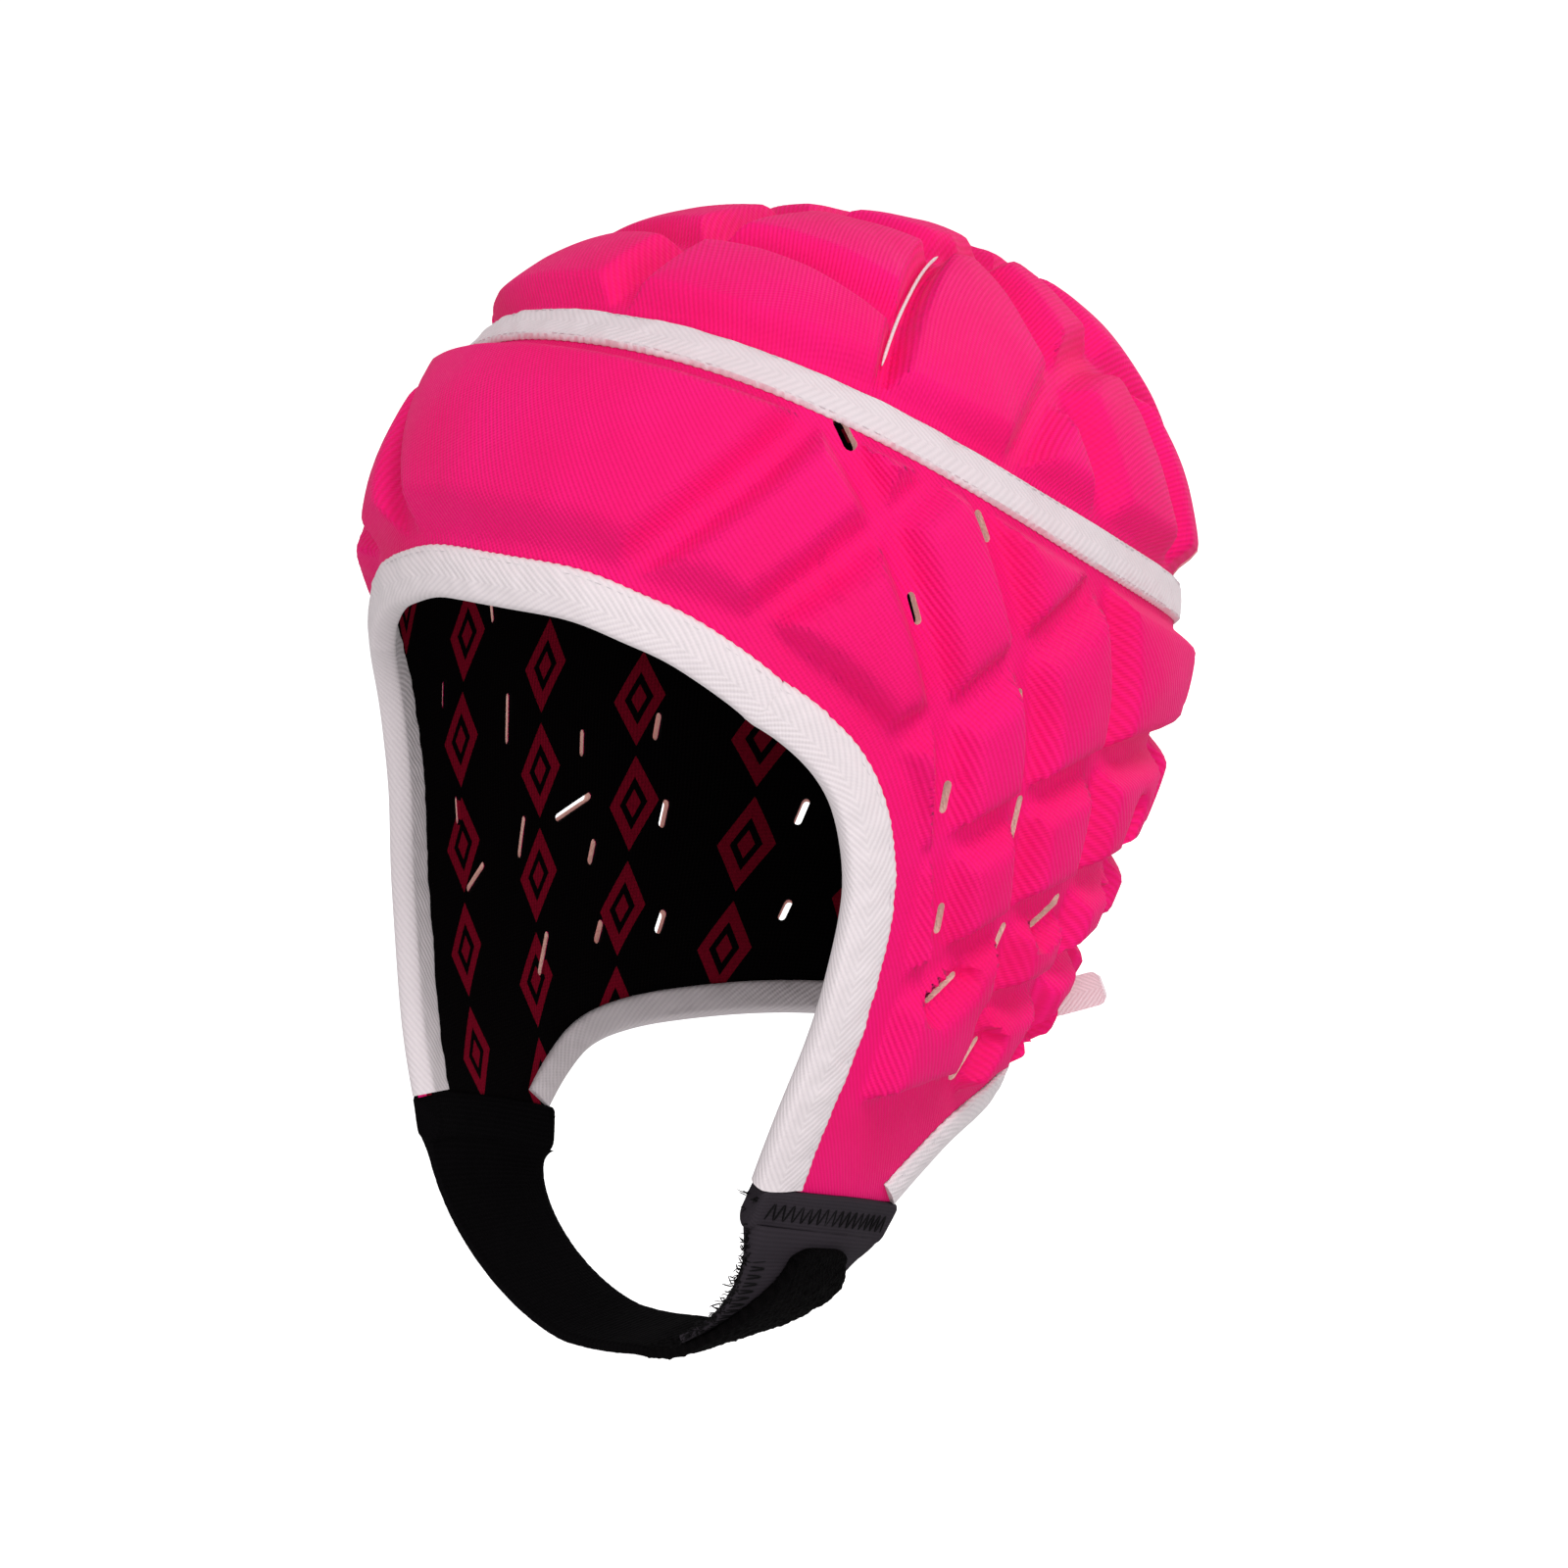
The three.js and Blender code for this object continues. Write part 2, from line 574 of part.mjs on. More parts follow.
// The vent slots as solids
function ventCutters() {
  const spare = 4; // the cut's reach past the lining and the pads
  const cutters = [];
  for (const slot of VENT_SLOTS) {
    for (const side of [1, -1]) {
      const angle = side * slot.angle;
      const { round, down, out } = headFrame(angle, slot.level);
      const lean = radians(slot.lean);
      const along = down.normalize().multiplyScalar(Math.cos(lean))
        .addScaledVector(round.normalize(), side * Math.sin(lean)).normalize();
      const across = new THREE.Vector3().crossVectors(out, along).multiplyScalar(SLOT_WIDTH / 2);
      const middle = headPoint(angle, slot.level);
      const reach = slot.length / 2;
      const outline = [[reach, 1], [-reach, 1], [-reach, -1], [reach, -1]];
      const ends = [-spare, WEB_TOP + PAD_RISE + spare].map((height) => (
        outline.map(([a, b]) => middle.clone().addScaledVector(out, height)
          .addScaledVector(along, a).addScaledVector(across, b))));
      cutters.push(toSolid(barOf(ends, outline)));
    }
  }
  return cutters;
}

const rimCutter = belowRims();
const slotCutters = ventCutters();

function trimmed(geometry) {
  let solid = toSolid(geometry).subtract(rimCutter);
  for (const cutter of slotCutters) solid = solid.subtract(cutter);
  return fromSolid(solid);
}

function ringCount(full, share) {
  if (share < QUARTER_ABOVE) return full / 4;
  return share < HALF_ABOVE ? full / 2 : full;
}

// The crown's rings run from the top down, with the last one beside the tape
function crownRings(columns, count, height) {
  const tip = new THREE.Vector3(0, 0, height(0, 0));
  const rings = [[tip]];
  for (let k = 1; k <= count; k++) {
    const share = k / count;
    const levelAt = (angle) => besideSeam(angle, -TAPE_WIDTH / 2 - TAPE_MARGIN) * share;
    rings.push(ringAt(ringCount(columns, share), levelAt, height));
  }
  return rings;
}

function crownPanel() {
  const edge = (angle) => besideSeam(angle, -SEAM_GAP / 2);
  const outer = crownRings(COLUMNS, CROWN_RINGS, (angle, level) => padHeight(angle, level, true));
  const inner = crownRings(INNER_COLUMNS, INNER_CROWN_RINGS, () => PANEL_INSIDE);
  const outerEdge = ringAt(COLUMNS, edge, () => WEB_TOP);
  const innerEdge = ringAt(INNER_COLUMNS, edge, () => PANEL_INSIDE);
  return trimmed(shellOf([...outer, outerEdge], [...inner, innerEdge]));
}

// The side panel's rings run from beside the tape down to the blank's foot
function sideRings(columns, count, height) {
  const rings = [];
  for (let k = 0; k <= count; k++) {
    const levelAt = (angle) => {
      const foot = readTable(BLANK_FOOT, 'angle', 'level', foldedAngle(angle));
      return mix(besideSeam(angle, TAPE_WIDTH / 2 + TAPE_MARGIN), foot, k / count);
    };
    rings.push(ringAt(columns, levelAt, height));
  }
  return rings;
}

function sidePanel() {
  const edge = (angle) => besideSeam(angle, SEAM_GAP / 2);
  const outer = sideRings(COLUMNS, OUTER_RINGS, (angle, level) => padHeight(angle, level, false));
  const inner = sideRings(INNER_COLUMNS, INNER_RINGS, () => PANEL_INSIDE);
  const outerEdge = ringAt(COLUMNS, edge, () => WEB_TOP);
  const innerEdge = ringAt(INNER_COLUMNS, edge, () => PANEL_INSIDE);
  return trimmed(shellOf([outerEdge, ...outer], [innerEdge, ...inner]));
}

function lining() {
  const face = (height) => [
    ...crownRings(INNER_COLUMNS, INNER_CROWN_RINGS, () => height),
    ...sideRings(INNER_COLUMNS, INNER_RINGS, () => height),
  ];
  return trimmed(shellOf(face(LINING_THICKNESS), face(0)));
}

function seamTape() {
  const half = TAPE_WIDTH / 2;
  const low = WEB_TOP + CLEARANCE;
  const high = low + TAPE_THICKNESS;
  const face = (height) => [-half, 0, half].map((distance) => (
    ringAt(COLUMNS, (angle) => besideSeam(angle, distance), () => height)));
  return shellOf(face(high), face(low));
}

// A tape folded over a rim, with one leg outside and one on the lining
function foldAlong(rim, width, innerWidth, thickness, base) {
  const top = WEB_TOP + LEG_CLEARANCE;
  const bottom = -FOLD_CLEARANCE;
  const section = [[width, top], [width, top + thickness], [0, top + thickness], [-CLEARANCE - base, top],
    [-CLEARANCE - base, bottom], [0, bottom - thickness], [innerWidth, bottom - thickness],
    [innerWidth, bottom], [-CLEARANCE, bottom], [-CLEARANCE, top]];
  const stations = rim.map((place, i) => {
    const before = headPoint(...rim[Math.max(i - 1, 0)]);
    const after = headPoint(...rim[Math.min(i + 1, rim.length - 1)]);
    const along = after.sub(before).normalize();
    const inwards = headFrame(...place).out.cross(along).normalize();
    return section.map(([distance, height]) => raised(...moveOnHead(place, inwards, distance), height));
  });
  return barOf(stations, section);
}

const binding = (rim, width) => (
  foldAlong(rim, width, width * INNER_LEG_SHARE, BINDING_THICKNESS, BINDING_THICKNESS));

// The strap's path at a share of the way from under the chin (0) to the right flap's foot (-1) or the left foot
// (1): its middle, the direction of its width, its width and how its middle bows out between its edges
const footFront = raised(...flapFootFront, WEB_TOP / 2);
const footRear = raised(...flapFootRear, WEB_TOP / 2);
const footMiddle = raised(...flapFoot[Math.round((flapFoot.length - 1) / 2)], WEB_TOP / 2);
const footCentre = footFront.clone().add(footRear).multiplyScalar(0.5);
const footWidth = footFront.distanceTo(footRear);
const footSlant = (footRear.z - footFront.z) / footWidth;
function strapFrame(share) {
  const turn = share * Math.PI / 2;
  const power = share < 0 ? RIGHT_ARC_POWER : LEFT_ARC_POWER;
  const down = Math.cos(turn) ** power;
  const across = Math.sign(turn) * Math.abs(Math.sin(turn)) ** power;
  const slant = footSlant * (1 - down);
  const bow = footMiddle.clone().sub(footCentre).multiplyScalar(1 - down);
  bow.x *= Math.sign(share);
  return {
    middle: new THREE.Vector3(footCentre.x * across, footCentre.y - STRAP_FORWARD * down,
      footCentre.z - CLEARANCE - HOLDER_BASE / 2 - STRAP_DROP * down),
    backwards: new THREE.Vector3(0, Math.sqrt(1 - slant * slant), slant),
    width: mix(footWidth, STRAP_MIDDLE_WIDTH, Math.cos(turn) ** STRAP_TAPER_POWER),
    bow,
  };
}

// A flat strap along part of that path, raised outwards by a height and with its front edge at a number of half
// widths from the middle. Both may change along it; the rear edge stays on the path's.
function strapBetween(from, to, heightAt, frontAt, thickness) {
  const steps = Math.round((to - from) / STRAP_STEP);
  const probe = STRAP_STEP / 5;
  const sides = [0, 0.25, 0.5, 0.75, 1];
  const outline = [...sides.map((side) => [side, -1]), ...sides.toReversed().map((side) => [side, 1])];
  const stations = [];
  for (let i = 0; i <= steps; i++) {
    const share = mix(from, to, i / steps);
    const { middle, backwards, width, bow } = strapFrame(share);
    const next = strapFrame(Math.min(share + probe, 1)).middle;
    const ahead = next.sub(strapFrame(Math.max(share - probe, -1)).middle);
    const outwards = new THREE.Vector3().crossVectors(backwards, ahead).normalize();
    stations.push(outline.map(([side, face]) => {
      const a = mix(frontAt(share), 1, side);
      return middle.clone().addScaledVector(backwards, a * width / 2).addScaledVector(bow, 1 - a * a)
        .addScaledVector(outwards, heightAt(share) + face * thickness / 2);
    }));
  }
  return toSolid(barOf(stations, outline));
}

// The two leaves that hold a flap's foot
function flapHolder(side) {
  const rim = flapFoot.map(([angle, level]) => [side * angle, level]);
  if (side < 0) rim.reverse();
  const leaf = STRAP_LAP - CLEARANCE;
  return toSolid(foldAlong(rim, leaf, leaf, LEAF_THICKNESS, HOLDER_BASE));
}

// The strap lies on the path, steps outwards to pass over the tab and narrows towards its free end
const stepOut = TAB_THICKNESS / 2 + 2 * CLEARANCE + STRAP_THICKNESS / 2;
function chinStrap() {
  const smooth = THREE.MathUtils.smoothstep;
  const rampEnd = TAB_TIP - STRAP_STEP;
  const heightAt = (share) => stepOut * smooth(share, rampEnd - STRAP_RAMP, rampEnd);
  const frontAt = (share) => mix(-1, STRAP_END_FRONT, smooth(share, TAB_TIP, STRAP_END));
  return fromSolid(flapHolder(-1).add(strapBetween(-1, STRAP_END, heightAt, frontAt, STRAP_THICKNESS)));
}

function strapAnchor() {
  return fromSolid(flapHolder(1).add(strapBetween(TAB_TIP, 1, () => 0, () => -1, TAB_THICKNESS)));
}

// The tape behind the nape: it starts flat on the neck binding and leaves it towards the wearer's left
function rearTape() {
  const [angle, level] = REAR_TAPE_ROOT;
  const lift = WEB_TOP + LEG_CLEARANCE + CLEARANCE + BINDING_THICKNESS + REAR_TAPE_THICKNESS / 2;
  const root = raised(angle, level, lift);
  const { round, out } = headFrame(angle, level);
  const along = round.normalize().negate();
  const aim = new THREE.Vector3(...REAR_TAPE_AIM).normalize();
  const third = REAR_TAPE_LENGTH / 3;
  const bend = root.clone().addScaledVector(along, third);
  const route = new THREE.CubicBezierCurve3(root, bend, bend.clone().addScaledVector(aim, third),
    bend.clone().addScaledVector(aim, 2 * third));
  const half = REAR_TAPE_WIDTH / 2;
  const outline = [[-1, -half], [1, -half], [1, half], [-1, half]];
  const steps = 8;
  const stations = Array.from({ length: steps + 1 }, (_, i) => {
    const tangent = route.getTangentAt(i / steps);
    const across = new THREE.Vector3(-tangent.y, tangent.x, 0).normalize().lerp(out, 1 - i / steps);
    across.addScaledVector(tangent, -across.dot(tangent)).normalize();
    const upwards = new THREE.Vector3().crossVectors(tangent, across);
    return outline.map(([a, b]) => route.getPointAt(i / steps)
      .addScaledVector(across, a * REAR_TAPE_THICKNESS / 2).addScaledVector(upwards, b));
  });
  return barOf(stations, outline);
}

const pink = () => new THREE.MeshStandardMaterial({ color: '#ff1178', roughness: 0.85, metalness: 0 });
const offWhite = () => new THREE.MeshStandardMaterial({ color: '#f1e6ea', roughness: 0.9, metalness: 0 });
const black = () => new THREE.MeshStandardMaterial({ color: '#0c0b0d', roughness: 0.95, metalness: 0 });
const charcoal = () => new THREE.MeshStandardMaterial({ color: '#2a272b', roughness: 0.7, metalness: 0 });

const cap = new THREE.Group();
function addPiece(name, geometry, material) {
  const piece = new THREE.Mesh(geometry, material);
  piece.name = name;
  cap.add(piece);
}

addPiece('crown_panel', crownPanel(), pink());
addPiece('side_panel', sidePanel(), pink());
addPiece('lining', lining(), black());
addPiece('seam_tape', seamTape(), offWhite());
addPiece('face_binding', binding(faceRim, FACE_BINDING_WIDTH), offWhite());
addPiece('neck_binding', binding(neckRim, NECK_BINDING_WIDTH), offWhite());
addPiece('chin_strap', chinStrap(), black());
addPiece('strap_anchor', strapAnchor(), charcoal());
addPiece('rear_tape', rearTape(), offWhite());

export default cap;
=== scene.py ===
import math

import bpy
import numpy as np
from mathutils import Matrix


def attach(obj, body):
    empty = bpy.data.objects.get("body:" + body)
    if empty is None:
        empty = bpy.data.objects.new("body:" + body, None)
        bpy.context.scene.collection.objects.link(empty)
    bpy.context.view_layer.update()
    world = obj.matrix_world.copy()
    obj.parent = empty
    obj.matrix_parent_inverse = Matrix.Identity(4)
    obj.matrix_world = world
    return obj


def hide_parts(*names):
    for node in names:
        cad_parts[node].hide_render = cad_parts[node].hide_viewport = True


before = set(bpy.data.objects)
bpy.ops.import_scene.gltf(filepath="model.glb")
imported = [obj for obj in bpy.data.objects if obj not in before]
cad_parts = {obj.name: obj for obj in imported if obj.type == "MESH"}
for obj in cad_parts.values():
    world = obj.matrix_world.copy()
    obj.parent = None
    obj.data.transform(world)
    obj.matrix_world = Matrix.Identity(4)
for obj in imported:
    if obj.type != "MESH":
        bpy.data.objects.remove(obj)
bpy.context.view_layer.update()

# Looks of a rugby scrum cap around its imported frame. Sizes are in millimetres
# and become metres in new_object.
MM = 0.001
chance = np.random.default_rng(7)

# Head hollow and layers, the same as in the part's source
HEAD_WIDTH = 160
HEAD_FRONT = 90
HEAD_REAR = 105
DOME_HEIGHT = 90
SKIRT_DEPTH = 125
DOME_ROUNDNESS = 0.9
FRONT_ROUNDNESS = 2.2
REAR_ROUNDNESS = 2.35
LINING_THICKNESS = 1.0
CLEARANCE = 0.3
PANEL_INSIDE = LINING_THICKNESS + CLEARANCE
WEB_TOP = PANEL_INSIDE + 2.2
PAD_RISE = 6.4
PAD_CROWN = 0.9  # how much fuller a pad is at its middle than beside its bevel
CHANNEL_WIDTH = 3.5
SLIT_WIDTH = 2.0
BEVEL_WIDTH = 5.6
FOREHEAD_BEVEL = 11.0  # the forehead pad runs out softly to the face binding
SLIT_BEVEL = 3.0
SLOT_BEVEL = 2.8
SLOT_DIP = 0.15  # share of a pad's rise that is left beside a slot
SEAM_GAP = 0.6
TAPE_WIDTH = 9.5
TAPE_THICKNESS = 1.2
TAPE_MARGIN = 1.6
BINDING_THICKNESS = 1.2
FACE_BINDING_WIDTH = 10
NECK_BINDING_WIDTH = 8
INNER_LEG_SHARE = 0.8
BINDING_MARGIN = 6.5
SEAM_HEIGHT = -49.7
SEAM_SLOPE = 0.6
SEAM_LIFT = 3.2
SEAM_REACH = 45
SLOT_WIDTH = 2.1
FIRST_SLOT_WIDTH = 3.2
SLOT_BORDER = 0.7  # pressed flat round a slot
STRAP_THICKNESS = 2.6
STRAP_DROP = 31
STRAP_LAP = 8
LEAF_THICKNESS = 1.3
HOLDER_BASE = 3
STRAP_MIDDLE_WIDTH = 27
STRAP_FORWARD = 14
RIGHT_ARC_POWER = 1.3
LEFT_ARC_POWER = 0.92
STRAP_TAPER_POWER = 0.75
STRAP_END = 0.92
STRAP_TIP = STRAP_END + 0.03  # the napped end is rounded and runs a little further
NAP_START = 0.27
NAP_LAP = 0.03
STRAP_FRONT_IN = 0.55  # how far the free end's edges come in, as shares of half the width
STRAP_REAR_IN = 0.6
TAB_TIP = 0.44
STRAP_RAMP = 0.2
STRAP_STEP = 0.05
TAB_THICKNESS = 1.8
REAR_TAPE_WIDTH = 8.6
REAR_TAPE_THICKNESS = 1.4
REAR_TAPE_LENGTH = 50
REAR_TAPE_CORNER = 2.4
REAR_TAPE_ROOT = (176, 1.818)
REAR_TAPE_AIM = (0.88, 0.3, 0.36)

SKIRT_DROP = (0.0, 0.25, 0.5, 0.75, 1.0)
SKIRT_WIDTH = (1.0, 0.963, 0.9, 0.788, 0.658)
SKIRT_FRONT = (1.0, 0.96, 0.95, 0.83, 0.69)
SKIRT_REAR = (1.0, 0.99, 0.86, 0.775, 0.68)
SKIRT_FORWARD = (0.0, 0.078, 0.144, 0.256, 0.333)

# A place on the head is an angle in degrees (0 face, 90 wearer's left, 180 back)
# and a level (0 top, 1 widest, 2 foot).
FACE_RIM = {
    "angle": (0, 12, 21, 30, 43, 53, 58, 58, 57.6, 55.2),
    "level": (0.869, 0.873, 0.898, 0.938, 1.034, 1.16, 1.311, 1.49, 1.668, 1.88),
}
NECK_RIM = {
    "angle": (100, 107, 115, 126, 145, 180),
    "level": (1.99, 1.94, 1.897, 1.878, 1.87, 1.853),
}
FLAP_PAD_FOOT = {"angle": (58, 72.3, 99, 112), "level": (1.76, 1.743, 1.75, 1.83)}
BLANK_FOOT = {"angle": (0, 25, 45, 58, 115, 135, 180), "level": (1.0, 1.15, 1.6, 2.12, 2.12, 1.98, 1.96)}
SIDE_CHANNELS = (
    {"angle": (17, 20.3, 36, 51, 54), "level": (0.86, 0.814, 0.672, 0.537, 0.5)},
    {"angle": (34, 37.3, 59, 72, 74), "level": (0.9, 0.882, 0.737, 0.662, 0.63)},
    {"angle": (52, 67.3, 83.7, 108.3, 112), "level": (1.08, 1.018, 0.958, 0.878, 0.86)},
    {"angle": (57, 73.3, 90, 110.3, 138.7, 180), "level": (1.32, 1.27, 1.218, 1.186, 1.21, 1.235)},
    {"angle": (58, 78, 94.7, 113.7, 134.7, 180), "level": (1.6, 1.491, 1.443, 1.423, 1.415, 1.43)},
    {"angle": (96.6, 117.3, 132.3, 180), "level": (1.612, 1.595, 1.563, 1.61)},
    {"angle": (51, 59, 67.3, 73.3, 78), "level": (0.537, 0.737, 1.018, 1.27, 1.491)},
    {"angle": (76, 83.7, 90, 94.7, 98.3, 99), "level": (0.64, 0.958, 1.218, 1.443, 1.603, 1.76)},
    {"angle": (108.3, 106.5, 110.3, 113.7, 117.3, 130), "level": (0.84, 0.93, 1.186, 1.423, 1.595, 1.8)},
    {"angle": (140, 138.7, 134.7, 132.3, 146), "level": (0.97, 1.21, 1.415, 1.563, 1.8)},
    {"angle": (166, 166, 166), "level": (1.02, 1.42, 1.8)},
)
# Seen from above: across is a share of half the head's width, back of its rear
CROWN_CHANNELS = (
    {"across": (0, 0), "back": (-0.56, 1.06)},
    {"across": (0, 0.3, 0.57), "back": (-0.195, -0.15, -0.115)},
    {"across": (0, 0.22, 0.37), "back": (0.155, 0.19, 0.242)},
    {"across": (0, 0.31, 0.66, 1.0), "back": (0.5, 0.51, 0.525, 0.64)},
    {"across": (0.37, 0.42, 0.76, 1.03), "back": (0.242, 0.325, 0.255, 0.262)},
    {"across": (0.77, 0.86, 0.91), "back": (0.255, 0.07, -0.1)},
    {"across": (0.77, 0.66, 0.66), "back": (0.255, 0.525, 0.85)},
    {"across": (0.41, 0.31, 0.3), "back": (0.32, 0.51, 1.0)},
)
SLIT = {"across": (0.36, 0.53, 0.7, 0.76), "back": (0.262, -0.005, -0.27, -0.37)}
# Angle, level, length and lean of each vent slot. The first one gapes.
VENT_SLOTS = (
    (54.8, 0.583, 8.8, 16), (78.7, 0.763, 7.7, 12), (63.3, 0.87, 7.6, 14),
    (84.5, 1.034, 8.1, 11), (107.3, 0.994, 8.3, 0), (71.8, 1.174, 7.6, 6),
    (91, 1.257, 13, 1), (76.4, 1.404, 7.4, 3), (110.2, 1.338, 7.1, 0),
    (125.8, 1.331, 7.3, -8), (108.4, 1.458, 13.8, -70), (95, 1.491, 11, -10),
    (81.5, 1.54, 10.4, -52), (113.5, 1.55, 7, -9), (128.2, 1.5, 7.6, -7),
    (152, 1.51, 7.5, -11), (102.3, 1.716, 12, -14), (117, 1.7, 6.6, -12),
    (130.7, 1.7, 6.7, -11), (153.3, 1.69, 6, -12), (141.8, 0.93, 8.1, -12),
)

# Mesh fineness
SIDE_COLUMNS = 560
SIDE_RINGS = 110
CROWN_COLUMNS = 440
CROWN_RINGS = 84
RING_SPREAD = 0.92
LINING_COLUMNS = 220
LINING_CROWN_RINGS = 24
LINING_SIDE_RINGS = 70
INNER_RINGS = 14
SEARCH_STEPS = 22
SEARCH_REACH = 0.3
MOVE_STEPS = 6
LEVEL_PROBE = 0.004
ANGLE_PROBE = 0.5
LINE_STEP = 3
EDGE_STEP = 2.0
FINE_STEP = 0.6


# Geometry of the head

def unit(v):
    return v / np.maximum(np.linalg.norm(v, axis=-1, keepdims=True), 1e-12)


def smoothstep(x, low=0.0, high=1.0):
    s = np.clip((x - low) / (high - low), 0, 1)
    return s * s * (3 - 2 * s)


def read_table(xs, ys, at):
    """Smooth curve through the rows of a table."""
    xs = np.asarray(xs, float)
    ys = np.asarray(ys, float)
    last = len(xs) - 1
    after = np.minimum(np.arange(len(xs)) + 1, last)
    before = np.maximum(np.arange(len(xs)) - 1, 0)
    slope = (ys[after] - ys[before]) / (xs[after] - xs[before])
    slope[0] = 0
    at = np.asarray(at, float)
    i = np.clip(np.searchsorted(xs, at, side="left") - 1, 0, last - 1)
    step = xs[i + 1] - xs[i]
    s = (at - xs[i]) / step
    return ((2 * s**3 - 3 * s**2 + 1) * ys[i] + (s**3 - 2 * s**2 + s) * step * slope[i]
            + (3 * s**2 - 2 * s**3) * ys[i + 1] + (s**3 - s**2) * step * slope[i + 1])


def head_point(angle, level):
    """The head side of the lining at a place on the head."""
    angle, level = np.broadcast_arrays(np.asarray(angle, float), np.asarray(level, float))
    turn = np.radians(angle)
    quarter = np.clip(level, 0, 1) * math.pi / 2
    drop = np.maximum(level - 1, 0)
    spread = np.where(level < 1, np.maximum(np.sin(quarter), 1e-9) ** DOME_ROUNDNESS, 1.0)
    dome = -DOME_HEIGHT * (1 - np.maximum(np.cos(quarter), 0) ** DOME_ROUNDNESS)
    height = np.where(level < 1, dome, -DOME_HEIGHT - drop * SKIRT_DEPTH)
    to_face = np.cos(turn)
    to_side = np.sin(turn)
    side = HEAD_WIDTH / 2 * spread * read_table(SKIRT_DROP, SKIRT_WIDTH, drop)
    depth = np.where(to_face > 0, HEAD_FRONT * spread * read_table(SKIRT_DROP, SKIRT_FRONT, drop),
                     HEAD_REAR * spread * read_table(SKIRT_DROP, SKIRT_REAR, drop))
    forward = HEAD_FRONT * read_table(SKIRT_DROP, SKIRT_FORWARD, drop)
    power = np.where(to_face > 0, FRONT_ROUNDNESS, REAR_ROUNDNESS)
    reach = (np.abs(to_side / side) ** power + np.abs(to_face / depth) ** power) ** (-1 / power)
    point = np.stack([reach * to_side, -reach * to_face - forward, height], -1)
    return np.where((level > 0)[..., None], point, 0.0)


def head_frame(angle, level):
    """Directions at a place: round (per degree), down (per unit of level) and outwards."""
    level = np.asarray(level, float)
    above = np.maximum(level - LEVEL_PROBE, LEVEL_PROBE / 40)
    below = level + LEVEL_PROBE
    around = head_point(angle + ANGLE_PROBE, level) - head_point(angle - ANGLE_PROBE, level)
    around = around / (2 * ANGLE_PROBE)
    down = (head_point(angle, below) - head_point(angle, above)) / np.asarray(below - above)[..., None]
    return around, down, unit(np.cross(down, around))


def raised(angle, level, height):
    angle, level, height = np.broadcast_arrays(np.asarray(angle, float), np.asarray(level, float),
                                               np.asarray(height, float))
    out = head_frame(angle, level)[2]
    point = head_point(angle, level) + out * height[..., None]
    tip = np.stack([np.zeros_like(height), np.zeros_like(height), height], -1)
    return np.where((level < LEVEL_PROBE)[..., None], tip, point)


def move_on_head(angle, level, direction, distance):
    """The place reached by going a distance in a direction along the surface, in short moves."""
    step = distance / MOVE_STEPS
    for _ in range(MOVE_STEPS):
        around, down, _ = head_frame(angle, level)
        rr = (around * around).sum(-1)
        rd = (around * down).sum(-1)
        dd = (down * down).sum(-1)
        r = (around * direction).sum(-1) * step
        d = (down * direction).sum(-1) * step
        det = rr * dd - rd * rd
        angle, level = angle + (r * dd - d * rd) / det, level + (d * rr - r * rd) / det
    return angle, level


def find_seam_level(angle):
    low = np.full_like(angle, LEVEL_PROBE)
    high = np.full_like(angle, 2.0)
    for _ in range(SEARCH_STEPS):
        middle = (low + high) / 2
        p = raised(angle, middle, WEB_TOP)
        plane = SEAM_HEIGHT - SEAM_SLOPE * p[..., 1] + SEAM_LIFT * (p[..., 1] / SEAM_REACH) ** 2
        low, high = np.where(p[..., 2] > plane, middle, low), np.where(p[..., 2] > plane, high, middle)
    return low


SEAM_LEVELS = find_seam_level(np.arange(181.0))


def folded(angle):
    return np.abs((np.asarray(angle, float) + 180) % 360 - 180)


def seam_level(angle):
    return np.interp(folded(angle), np.arange(181.0), SEAM_LEVELS)


def segments_of(lines):
    starts = np.concatenate([line[:-1] for line in lines])
    ends = np.concatenate([line[1:] for line in lines])
    return starts, ends - starts


def distance_to(lines, points):
    """Distance from each point to the nearest of some lines."""
    starts, spans = segments_of(lines)
    square = np.maximum((spans * spans).sum(-1), 1e-12)
    flat = points.reshape(-1, 3)
    best = np.empty(len(flat))
    chunk = 2500
    for i in range(0, len(flat), chunk):
        away = flat[i:i + chunk, None, :] - starts[None]
        s = np.clip((away * spans[None]).sum(-1) / square, 0, 1)
        away -= s[..., None] * spans[None]
        best[i:i + chunk] = (away * away).sum(-1).min(-1)
    return np.sqrt(best).reshape(points.shape[:-1])


SEAM_ANGLES = np.arange(-180.0, 181.0)
SEAM_LINE = head_point(SEAM_ANGLES, seam_level(SEAM_ANGLES))


def beside_seam(angle, distance):
    """The level at a distance below the seam, or above it if negative."""
    near = seam_level(angle)
    if distance == 0:
        return near
    far = near + np.sign(distance) * SEARCH_REACH
    for _ in range(SEARCH_STEPS):
        middle = (near + far) / 2
        closer = distance_to([SEAM_LINE], head_point(angle, middle)) < abs(distance)
        near, far = np.where(closer, middle, near), np.where(closer, far, middle)
    return near


def spline(points, count):
    """Evenly keyed points of a uniform Catmull-Rom curve."""
    points = np.asarray(points, float)
    last = len(points) - 1
    t = np.linspace(0, last, count)
    i = np.minimum(np.floor(t).astype(int), last)
    w = (t - i)[:, None]
    p0 = points[np.maximum(i - 1, 0)]
    p1 = points[i]
    p2 = points[np.minimum(i + 1, last)]
    p3 = points[np.minimum(i + 2, last)]
    v0 = (p2 - p0) / 2
    v1 = (p3 - p1) / 2
    return (2 * p1 - 2 * p2 + v0 + v1) * w**3 + (-3 * p1 + 3 * p2 - 2 * v0 - v1) * w**2 + v0 * w + p1


